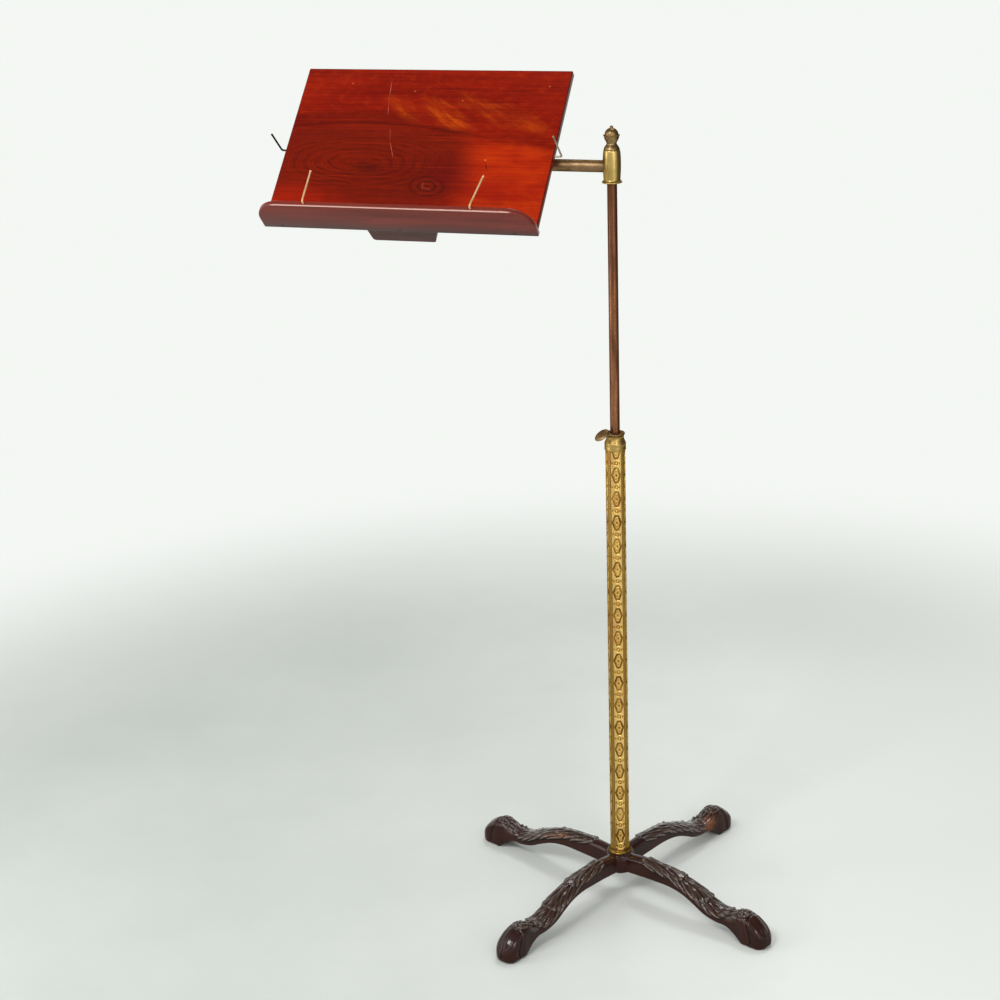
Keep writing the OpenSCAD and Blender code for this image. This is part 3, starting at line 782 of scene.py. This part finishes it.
def leaf_height(along, across, girth, leg):
    """Height in mm of three overlapping leaves with long swept lobes, and how much of it is leaf."""
    side = np.sign(across)
    drift = 5.0 * np.sin(along / 19 + leg * 2.1 + side) + 2.0 * np.sin(along / 7.3 + leg * 4.3 + girth * 2)
    total = np.zeros(len(along))
    carved = np.zeros(len(along))
    for number, (start, tip, hang) in enumerate(LEAVES):
        run = (along - start) / (tip - start)
        inside = np.clip(run, 0.001, 0.999)
        turn = (along - LOBE_SWEEP * girth + drift + 5 * number * side - start) / LOBE_PITCH
        lobe = np.sqrt(np.abs(np.sin(math.pi * turn)))
        reach = hang * 1.35 * inside ** 0.25 * (1 - inside) ** 0.35
        edge = reach * (0.78 + 0.34 * np.abs(np.sin(math.pi * (turn + 0.08))))
        cover = step(girth, edge + 0.05, edge - 0.05) * step(run, -0.02, 0.06) * step(run, 1.01, 0.96)
        vein = 0.5 + 0.5 * np.cos(4 * math.pi * turn)
        body = 0.5 + 1.3 * inside ** 2 + (0.5 + 1.1 * np.minimum(girth, 1.1)) * lobe
        body += 0.5 * vein * lobe + 0.7 * bell(girth, 0.1) - 0.6 * bell(girth - 0.24, 0.08)
        body += 1.4 * lobe * bell(girth - edge + 0.17, 0.15)
        total = np.maximum(total, cover * body)
        carved = np.maximum(carved, cover)
    return total, carved


def toe_flower(along, across, girth, leg):
    """Curled petals round a hollow eye on the toe's crown, how much is flower, and the distance from it."""
    px = along - FLOWER_AT
    rho = np.hypot(px, across * 0.95)
    around = np.arctan2(across, px) + 0.35 * np.sin(rho / 2.3)
    share = step(girth, 1.25, 0.9) * step(rho, FLOWER_R, FLOWER_R - 2.5)
    petals = (0.5 + 0.5 * np.cos(5 * around + leg)) * bell(rho - 6.2, 2.6)
    flower = 1.9 * petals + 1.2 * bell(rho - 10.4, 1.1) + 1.0 * bell(rho - 2.6, 1.0) - 2.2 * bell(rho, 1.4)
    return flower * share, share, rho


def hoof(along, across, z, rho):
    """A groove from the flower down both sides, and a raised front with a crease down it."""
    groove = along - (HOOF_AT + 0.16 * (TOE_TOP - z) + 2.0 * np.sin(z / 9))
    rim = (0.35 * bell(groove + 3.4, 2.0) - 1.3 * bell(groove, 1.5)) * step(z, 3, 9) * step(rho, 9, 12)
    crease = -0.8 * bell(across - 1.5 * np.sin(z / 9), 0.9) * step(along, 244, 250) * step(z, 4, 10)
    tongue = 0.9 * bell(across, 5.0) * step(along, 236, 242) * step(z, 20, 30)
    return rim + crease + tongue


def foot_carving(co, normals):
    """Height of the carving, in mm, how worn each point is and how much of it is carved."""
    along, across, girth, leg = leg_place(co)
    z = co[:, 2]
    leaves, carved = leaf_height(along, across, girth, leg)
    leaves = leaves * step(normals[:, 2], -0.75, -0.4)
    start, end = FLUTES
    neck = step(along, start, start + 8) * step(along, end, end - 8) * step(girth, 1.25, 0.95)
    fluting = neck * (0.75 * np.cos(across * 2 * math.pi / FLUTE_PITCH) + 0.2)
    flower, share, rho = toe_flower(along, across, girth, leg)
    total = leaves + fluting + flower + hoof(along, across, z, rho)

    # Rubbed paint on one toe, and on a few lobes of another leg
    rub = bell(along - 207, 10) * bell(z - 29, 9) * step(-across, 2, 8)
    lobes = bell(along - 112, 22) * step(leaves, 1.4, 2.4) * step(girth, 0.3, 0.6) * step(across, -1, 4)
    wear = np.where(leg == 0, rub * 1.5, 0)
    wear = np.maximum(wear, np.where(leg == 1, lobes * 0.6, 0))
    return total, np.clip(wear, 0, 1), np.maximum(carved, np.maximum(neck, share))


def blurred(values, edges, rounds):
    """Values evened out over the neighbours in a mesh."""
    count = len(values)
    near = np.bincount(edges.ravel(), minlength=count)
    for _ in range(rounds):
        sums = np.bincount(edges[:, 0], values[edges[:, 1]], count)
        sums += np.bincount(edges[:, 1], values[edges[:, 0]], count)
        values = (values + sums) / (1 + near)
    return values


CARVE_SINK = 0.6
CAD_MARGIN = 0.00001


def make_foot():
    hub = [(0.01, HUB_UNDER), (20.5, HUB_UNDER), (22.5, HUB_UNDER + 2), (22.5, HUB_TOP - 8),
           (20.5, HUB_TOP - 2), (18.5, HUB_TOP), (0.01, HUB_TOP)]
    verts, faces = lathe_mm(hub, 64)
    for k in range(4):
        add_shape(verts, faces, *leg_mesh(LEG_TURN + 90 * k))
    mesh = melted("foot_rough", verts, faces, voxel=1.0, rounds=5)
    co = read_rows(mesh.vertices, "co", 3).astype(float)
    normals = read_rows(mesh.vertices, "normal", 3).astype(float)
    edges = read_rows(mesh.edges, "vertices", 2, np.int32)
    total, wear, carved = foot_carving(co, normals)
    raised = np.clip(0.5 + (total - blurred(total, edges, 10)) / 1.6, 0, 1)
    gloss = 0.06 + 0.45 * step(normals[:, 2], 0.1, 0.8) + 0.8 * carved * step(raised, 0.35, 0.6)
    gloss = np.clip(gloss, 0, 1)
    # Raise the carving, keep the soles flat on the floor and the whole foot inside its solid's box
    co += normals * (total - CARVE_SINK * (np.abs(total) > 0.02))[:, None]
    co[:, 2] = np.maximum(co[:, 2], 0)
    co[(co[:, 2] < 0.5) & (normals[:, 2] < -0.8), 2] = 0
    final = co * MM + np.array(column)
    low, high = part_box("base_casting")
    final[:, :2] = np.clip(final[:, :2], np.array(low)[:2] + CAD_MARGIN, np.array(high)[:2] - CAD_MARGIN)
    mesh.vertices.foreach_set("co", final.astype(np.float32).ravel())
    mesh.update()
    dress(mesh, PAINT)
    mesh.name = "carved_foot"
    piece = add_object("carved_foot", mesh)
    for name, values in (("relief", raised), ("wear", wear), ("carved", carved), ("gloss", gloss)):
        give_attribute(piece, name, values)
    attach(piece, "stand")
    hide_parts("base_casting")


make_foot()


# Column: a stamped sheath with four strips of cartouches. Millimetres, and degrees from a strip's middle.

SHEATH_OUT = 14.1
SHEATH_IN = 12.53
SHEATH_LOWEST = 0.66
SHEATH_RELIEF = 0.64
GRID_STEP = 0.62
STRIP_TURN = -70.4
PERIOD = 35.08
FIRST_CARTOUCHE = 8.4
PANEL_EDGE = 31.5
SUNK_LINE = 34.2
BEAD_LINE = 38.0
BEAD_PITCH = 2.2
PLAIN_LINE = 45
CARTOUCHE_W = 7.7
CARTOUCHE_H = 11.4
CARTOUCHE_TAPER = 0.42
DOT_UP = 6.7
RING_R = 2.3
DIMPLE_OUT = 5.7


def stamped_height(angle, z):
    """Height of the stamped pattern, 0 to 1, and the panel's share."""
    zc = np.mod(z + PERIOD / 2, PERIOD) - PERIOD / 2
    zr = np.mod(z, PERIOD) - PERIOD / 2
    side = np.abs(angle)
    mm_x = angle * math.pi / 180 * SHEATH_OUT
    # A raised panel with a sunk line beside it
    panel = step(side, PANEL_EDGE + 1, PANEL_EDGE - 1)
    height = 0.36 + 0.5 * panel - 0.3 * bell(side - SUNK_LINE, 1.6)
    # The cartouche: a pointed hexagon that lies in a sunk ground, with a flower of six petals and two dots
    edge = CARTOUCHE_W - CARTOUCHE_TAPER * np.abs(zc)
    shape = np.maximum(np.abs(mm_x) - edge, (np.abs(zc) - CARTOUCHE_H) * 0.9)
    height -= 0.85 * step(shape, 0.5, -0.2) * panel
    plate = step(shape, -2.0, -2.7)
    height += 0.5 * plate
    rho = np.hypot(mm_x, zc * 0.8)
    petals = 0.5 + 0.5 * np.cos(6 * np.arctan2(zc * 0.8, mm_x))
    height += plate * (0.4 * petals * bell(rho - 3.0, 1.4) - 0.25 * bell(rho - 4.6, 0.7))
    height -= 0.75 * bell(rho, 1.1)
    dots = np.hypot(mm_x, np.abs(zc) - DOT_UP)
    height += 0.35 * bell(dots, 1.7) - 0.6 * bell(dots, 0.7)
    # A ring between cartouches, with a dimple at each side of it
    height -= 0.8 * bell(np.hypot(mm_x, zr) - RING_R, 0.85)
    height -= 0.9 * bell(np.hypot(np.abs(mm_x) - DIMPLE_OUT, zr), 1.4)
    # Border: a beaded line and a plain one along each strip
    bead = 0.5 + 0.5 * np.cos(2 * math.pi * z / BEAD_PITCH)
    height += (0.1 + 0.3 * bead) * bell(side - BEAD_LINE, 1.6)
    height += 0.28 * bell(side - PLAIN_LINE, 2.0)
    return np.clip(height, 0, 1), panel


def tube_points(radius, degrees, z):
    """Points round the column, as rows in millimetres."""
    x = column.x / MM + radius * np.cos(np.radians(degrees))
    y = column.y / MM + radius * np.sin(np.radians(degrees))
    return np.stack([x, y, z], -1).reshape(-1, 3)


def make_sheath():
    low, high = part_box("column_sheath")
    z0, z1 = low.z / MM, high.z / MM
    columns = 184
    rows = int((z1 - z0) / GRID_STEP)
    a = np.linspace(0, 360, columns, endpoint=False)
    grid_z, grid_a = np.meshgrid(np.linspace(z0, z1, rows), a, indexing="ij")
    local = np.mod(grid_a - STRIP_TURN + 45, 90) - 45
    height, panel = stamped_height(local, z1 - FIRST_CARTOUCHE - grid_z)
    inward = step(np.minimum(grid_z - z0, z1 - grid_z), 0.2, 1.2)
    height = height * inward + 0.5 * (1 - inward)
    outer = tube_points(SHEATH_OUT - SHEATH_LOWEST + SHEATH_RELIEF * height, grid_a, grid_z)
    inner = [tube_points(SHEATH_IN, a, np.full(columns, level)) for level in (z1, z0)]
    verts = np.concatenate([outer] + inner) * MM
    faces = ring_faces(rows + 2, columns, closed=True)
    piece = add_piece("stamped_sheath", verts, faces, "stand", STAMPED)
    give_attribute(piece, "relief", np.concatenate([height.ravel(), np.full(2 * columns, 0.5)]))
    give_attribute(piece, "panel", np.concatenate([panel.ravel(), np.zeros(2 * columns)]))
    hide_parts("column_sheath")


make_sheath()


# Turned brass: profiles of (radius, height) in millimetres, from a level in metres

def turned(name, profile, level, body, material, slot, *nodes):
    verts, faces = lathe(profile, column + Vector((0, 0, level)))
    piece = add_piece(name, verts, faces, body, material, sharp=34)
    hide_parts(*nodes)


ROD_R = 6.77
LINER_R = 12.53
SPIGOT_R = 4.0
COLLET_R = 9.02
COLLAR_BORE = 14.13
HEAD_RISE = 0.002
RING_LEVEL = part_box("foot_ring")[0].z
COLLAR_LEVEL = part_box("column_collar")[1].z
HEAD_LEVEL = arm_axis.z + HEAD_RISE

turned("turned_foot_ring",
       [(LINER_R, 0), (16.6, 0), *arc(15.8, 1.1, 1.1, -70, 80), (15.6, 2.9), *arc(15.2, 4.3, 0.9, -60, 60),
        (14.7, 5.8), (LINER_R, 6)],
       RING_LEVEL, "stand", FOOT_BRASS, "brass", "foot_ring")
turned("turned_collar",
       [(COLLAR_BORE, -21.7), (14.5, -21.7), *smooth_line([
           (14.6, -21.6), (15.0, -20.6), (15.02, -18), (14.85, -15.5), (15.0, -13.4), (15.0, -12.0),
           (14.7, -10.8), (14.1, -9.4), (13.45, -7.9), (12.8, -6.4), (12.35, -5.1), (12.12, -4.1),
           (12.1, -3)]),
        *arc(12.1, -1.6, 0.55, -70, 80, 6), (11.8, -0.5), (11.6, 0), (COLLET_R, 0), (COLLET_R, -9.5),
        (ROD_R + 0.04, -9.5), (ROD_R + 0.04, -10.5), (LINER_R, -10.5), (LINER_R, -12.4),
        (COLLAR_BORE, -12.4)],
       COLLAR_LEVEL, "stand", COLLAR_BRASS, "brass", "column_collar")
turned("turned_barrel",
       [(ROD_R + 0.02, -24), (12.1, -24), *smooth_line([
           (12.3, -23.98), (13.3, -23.5), (13.68, -22.7), (13.5, -21.9), (12.75, -21.3), (11.95, -20.4),
           (11.4, -19.2), (11.36, -18), (11.7, -13.1), (12.1, -6), (12.24, 0.7), (12.24, 4.3), (12.0, 12.3),
           (11.6, 17), (11.2, 19.2), (10.95, 19.9)], 4),
        (10.7, 20.15), (SPIGOT_R, 20.2), (SPIGOT_R, -12), (ROD_R + 0.02, -12)],
       HEAD_LEVEL, "mast", BARREL_BRASS, "brass", "head_barrel")
turned("turned_finial",
       [(0.01, 11.5), (SPIGOT_R - 0.03, 11.5), (SPIGOT_R - 0.03, 20.2), (10.5, 20.4), *smooth_line([
           (10.7, 20.5), (10.78, 21.1), (10.4, 22.3), (9.7, 23.8), (8.6, 25.6), (7.4, 27.1), (6.85, 28.4),
           (6.95, 29.8), (7.7, 31.5), (8.7, 33.2), (9.5, 34.9), (10.05, 36.7), (10.3, 38.4),
           (10.5, 39.0)], 4),
        *arc(10.9, 39.5, 0.45, -80, 80, 5), (9.6, 40.0), (9.35, 40.6),
        *arc(0, 40, 9.38, 5, 74, 12), *smooth_line([
            (2.5, 49.2), (2.25, 49.9), (2.35, 50.7), (2.0, 51.5), (1.2, 52.1), (0.01, 52.35)], 3)],
       HEAD_LEVEL, "mast", FINIAL_BRASS, "brass", "finial")


# Lever: a disc with a plump thumb piece that grows out of it, joined and softened. Millimetres.

LEVER_TURN = 229
LEVER_RISE = 0.2
DISC = [(7.4, 0), (13.2, 0), (13.75, 0.7), (13.75, 2.2), (13.2, 2.9), (7.4, 2.9)]
THUMB_PLACE = (21.8, 2.4)
THUMB_STRETCH = (1.18, 1.05, 1.0)
THUMB_DROOP = 34
PAD_R = 9.9
PAD_UP = 3.9
PAD_DOWN = 3.6
WEB_HALF = 6.8
WEB_SIDE = [(9.3, 0.7), (9.3, 3.4), (12.8, 6.6), (17.5, 7.8), (21.5, 5.6), (21.5, 0.4), (17.5, 0.5)]


def pad_curve(height, start, end):
    angles = np.radians(np.linspace(start, end, 9))
    return [(PAD_R * math.sin(a), height * math.cos(a) ** 1.3) for a in angles]


def plate(side, half):
    """A plate with the outline side, in x and z, as thick as half to either side in y."""
    verts = [Vector((x, y, z)) for y in (-half, half) for x, z in side]
    n = len(side)
    faces = [list(range(n)), [n + i for i in reversed(range(n))]]
    for i in range(n):
        k = (i + 1) % n
        faces.append([k, i, n + i, n + k])
    return verts, faces


def make_lever():
    foot = Vector((column.x, column.y, COLLAR_LEVEL)) / MM + Vector((0, 0, LEVER_RISE))
    turn = Matrix.Rotation(math.radians(LEVER_TURN), 4, "Z")
    thumb = turn @ Matrix.Translation((THUMB_PLACE[0], 0, THUMB_PLACE[1])) @ Matrix.Rotation(
        math.radians(THUMB_DROOP), 4, "Y") @ Matrix.Diagonal((*THUMB_STRETCH, 1))
    verts, faces = lathe_mm(DISC, 64)
    curve = pad_curve(PAD_UP, 8, 80) + [(PAD_R, 0)] + pad_curve(-PAD_DOWN, 80, 8)
    pad, pad_faces = lathe_mm([(0.01, PAD_UP), *curve, (0.01, -PAD_DOWN)], 48)
    add_shape(verts, faces, [thumb @ v for v in pad], pad_faces)
    web, web_faces = plate(WEB_SIDE, WEB_HALF)
    add_shape(verts, faces, [turn @ v for v in web], web_faces)
    mesh = melted("lever_rough", verts, faces, voxel=0.4, rounds=6)
    verts = [(v.co + foot) * MM for v in mesh.vertices]
    faces = [list(f.vertices) for f in mesh.polygons]
    bpy.data.meshes.remove(mesh)
    piece = add_piece("thumb_lever", verts, faces, "lever", BRONZE)
    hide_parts("clamp_lever")


make_lever()


# Desk

def slab(outline, z0, z1, bevel):
    """Vertices and faces of a plate from an outline of (x, y) points, with rounded arrises."""
    bm = bmesh.new()
    face = bm.faces.new([bm.verts.new((x, y, z0)) for x, y in outline])
    result = bmesh.ops.extrude_face_region(bm, geom=[face])
    top = [v for v in result["geom"] if isinstance(v, bmesh.types.BMVert)]
    bmesh.ops.translate(bm, verts=top, vec=(0, 0, z1 - z0))
    bmesh.ops.recalc_face_normals(bm, faces=bm.faces)
    edges = [e for e in bm.edges if abs(e.verts[0].co.z - e.verts[1].co.z) < 1e-9]
    edges += [e for e in bm.edges if e not in edges and e.calc_face_angle(0) > math.radians(40)]
    bmesh.ops.bevel(bm, geom=edges, offset=bevel, offset_type="OFFSET", segments=3, profile=0.5,
                    affect="EDGES", clamp_overlap=True)
    return take(bm)


def make_board():
    w = BOARD_W / 2
    outline = [(-w, BOARD_LOW), (w, BOARD_LOW), (w, BOARD_TOP), (-w, BOARD_TOP)]
    verts, faces = slab(outline, BOARD_BACK, BOARD_FACE, BOARD_ARRIS)
    piece = add_piece("polished_board", verts, faces, "desk", BOARD, DESK)
    inset = [min(w - abs(v.x), v.y - BOARD_LOW, BOARD_TOP - v.y) for v in verts]
    give_attribute(piece, "edge", [float(d < WORN_EDGE) for d in inset])
    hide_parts("desk_board")


def make_ledge():
    w = LEDGE_W / 2
    front = LEDGE_T / 2
    corner = arc(w - LEDGE_R, LEDGE_TOP - LEDGE_R, LEDGE_R, 0, 90, 20)
    left = [(-x, z) for x, z in reversed(corner)]
    outline = [(-w, BOARD_BACK), (w, BOARD_BACK)] + corner + left
    verts, faces = slab(outline, -front, front, LEDGE_ARRIS)
    # Where its upper front edge is worn and painted with a highlight, and where its lower one is painted with
    # shade
    upper = [step(v.z, front - 0.0012, front - 0.0004) * (v.y > LEDGE_TOP - 0.0014) for v in verts]
    lower = [step(v.z, front - 0.0016, front - 0.0002) * (v.y < BOARD_BACK + 0.0017) for v in verts]
    stand_up = Matrix.Translation((0, BOARD_LOW - front, 0)) @ Matrix.Rotation(math.pi / 2, 4, "X")
    verts = [stand_up @ v for v in verts]
    piece = add_piece("polished_ledge", verts, faces, "desk", LEDGE, DESK)
    give_attribute(piece, "arris", upper)
    give_attribute(piece, "low_arris_shade", lower)
    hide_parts("book_ledge")


make_board()
make_ledge()


# Finishes of the CAD pieces that keep their own shape

FINISH = {
    STEEL: ["column_liner", "base_washer", "base_nut", "guide_screw", "head_screw", "arm_pin", "sleeve_screw",
            "ledge_screws", "block_screws"],
    BRASS: ["clamp_collet", "rod_guide_plug", "arm_end_cap", "arm_sleeve", "sleeve_collar", "clamp_nut",
            "clamp_washer", "tilt_wing_screw"],
    ARM_BRASS: ["swing_arm"],
    WIRE: ["page_holder_left", "page_holder_right"],
    PALE_WIRE: ["side_clip_right"],
    DARK_WIRE: ["side_clip_left"],
    ROD: ["lift_rod"],
    BLOCK: ["tilt_block"],
}

for material, names in FINISH.items():
    for node in names:
        dress(frame["nodes"][node].data, material, sharp=35)


# Floor, light and world

BACKDROP = srgb(244, 247, 243)
FLOOR_SHADED_LEFT = srgb(200, 205, 201)
FLOOR_LIT_RIGHT = srgb(238, 241, 237)
FADE = (1.0, 2.0)


def with_direct_rays(rays, amount):
    """A field that also counts what the camera sees itself or through glass."""
    for name in ("Is Camera Ray", "Is Transmission Ray"):
        amount = amount.math("MAXIMUM", Field(amount.tree, rays.outputs[name]))
    return amount


def make_floor():
    """A pale floor, painted darker to the left and lighter to the right as if lit from that side, that runs
    out into the white of the backdrop.
    """
    s = Surface("floor")
    x = s.axis(0) - column.x
    y = s.axis(1) - column.y
    cloud = s.noise(3, detail=5) * 0.5
    # Painted light: the floor's colour goes from darker on the camera's left to lighter on its right.
    across = (x * math.cos(CAMERA_HEADING) - y * math.sin(CAMERA_HEADING)).steps(-0.7, 0.8) + cloud
    s.colour = s.mix(across, FLOOR_SHADED_LEFT, FLOOR_LIT_RIGHT)
    distance = (x * x + y * y).root()
    far = distance.steps(*FADE)
    behind = ((x * math.sin(CAMERA_HEADING) + y * math.cos(CAMERA_HEADING)) / distance).steps(-0.4, 0.6)
    rays = add_node(s.tree, "LightPath")
    seen = with_direct_rays(rays, Field(s.tree, rays.outputs["Is Glossy Ray"]) * (behind * 0.35 + 0.65))
    white = add_node(s.tree, "Emission", Color=BACKDROP, Strength=1.0)
    join = add_node(s.tree, "MixShader", Fac=seen * far)
    s.tree.links.new(s.shader.outputs[0], join.inputs[1])
    s.tree.links.new(white.outputs[0], join.inputs[2])
    s.tree.links.new(join.outputs[0], s.tree.nodes["Material Output"].inputs["Surface"])
    bm = bmesh.new()
    bmesh.ops.create_circle(bm, cap_ends=True, segments=96, radius=50)
    mesh = make_mesh("floor", *take(bm))
    mesh.materials.append(s.finish(Roughness=0.7, Specular_IOR_Level=0.2))
    floor = add_object("floor", mesh)


def bearing(turn):
    """Direction from the column, turn degrees to the right of the camera's side."""
    return math.atan2(CAMERA_FROM_COLUMN.y, CAMERA_FROM_COLUMN.x) + math.radians(turn)


def soft_light(name, turn, distance, height, size, power, aim_height=0.7):
    """A soft box round the column, aimed at a height on it."""
    data = bpy.data.lights.new(name, "AREA")
    data.shape = "RECTANGLE"
    data.size, data.size_y = size
    data.energy = power
    lamp = add_object(name, data)
    a = bearing(turn)
    lamp.location = column + Vector((distance * math.cos(a), distance * math.sin(a), height))
    aim = column + Vector((0, 0, aim_height))
    lamp.rotation_euler = (aim - lamp.location).to_track_quat("-Z", "Y").to_euler()
    lamp.visible_camera = False


def dark_card(turn, distance, size, base, grey):
    """A card that only mirrors see, to keep one side of the metal darker."""
    material = bpy.data.materials.new("card")
    material.use_nodes = True
    tree = material.node_tree
    glow = add_node(tree, "Emission", Color=(grey, grey, grey))
    tree.links.new(glow.outputs[0], tree.nodes["Material Output"].inputs["Surface"])
    a = bearing(turn)
    along = Vector((-math.sin(a), math.cos(a), 0)) * size[0] / 2
    low = column + Vector((math.cos(a), math.sin(a), 0)) * distance + Vector((0, 0, base))
    high = low + Vector((0, 0, size[1]))
    mesh = make_mesh("card", (low - along, low + along, high + along, high - along), [(0, 1, 2, 3)])
    mesh.materials.append(material)
    card = add_object("card", mesh)
    for kind in ("camera", "diffuse", "transmission", "shadow"):
        setattr(card, "visible_" + kind, False)


def make_world():
    """Even light, white behind the object where a ray looks level and darker overhead in mirrors."""
    world = bpy.data.worlds.new("studio")
    bpy.context.scene.world = world
    world.use_nodes = True
    tree = world.node_tree
    rays = add_node(tree, "LightPath")
    direction = Field(tree, add_node(tree, "TexCoord").outputs["Generated"])
    height = Field(tree, add_node(tree, "SeparateXYZ", Vector=direction).outputs[2])
    mirrored = height.steps(0.75, 0.3) * 0.78 - 0.28
    strength = Field(tree, rays.outputs["Is Glossy Ray"]) * mirrored + 0.5
    background = tree.nodes["Background"]
    feed(tree, background.inputs["Color"], BACKDROP)
    feed(tree, background.inputs["Strength"], with_direct_rays(rays, strength))


make_floor()
make_world()
soft_light("key", turn=-34, distance=3.0, height=3.4, size=(1.0, 1.0), power=56)
soft_light("front", turn=16, distance=3.4, height=2.6, size=(1.0, 1.0), power=26)
soft_light("back", turn=165, distance=1.2, height=2.9, size=(0.8, 0.8), power=16, aim_height=0.2)
soft_light("left_strip", turn=-74, distance=1.5, height=1.0, size=(0.4, 1.8), power=6, aim_height=1.0)
soft_light("right_strip", turn=28, distance=2.2, height=1.0, size=(0.22, 1.8), power=5, aim_height=1.0)
dark_card(turn=102, distance=1.1, size=(1.7, 1.6), base=0.32, grey=0.12)

bpy.context.scene.view_settings.view_transform = "Standard"
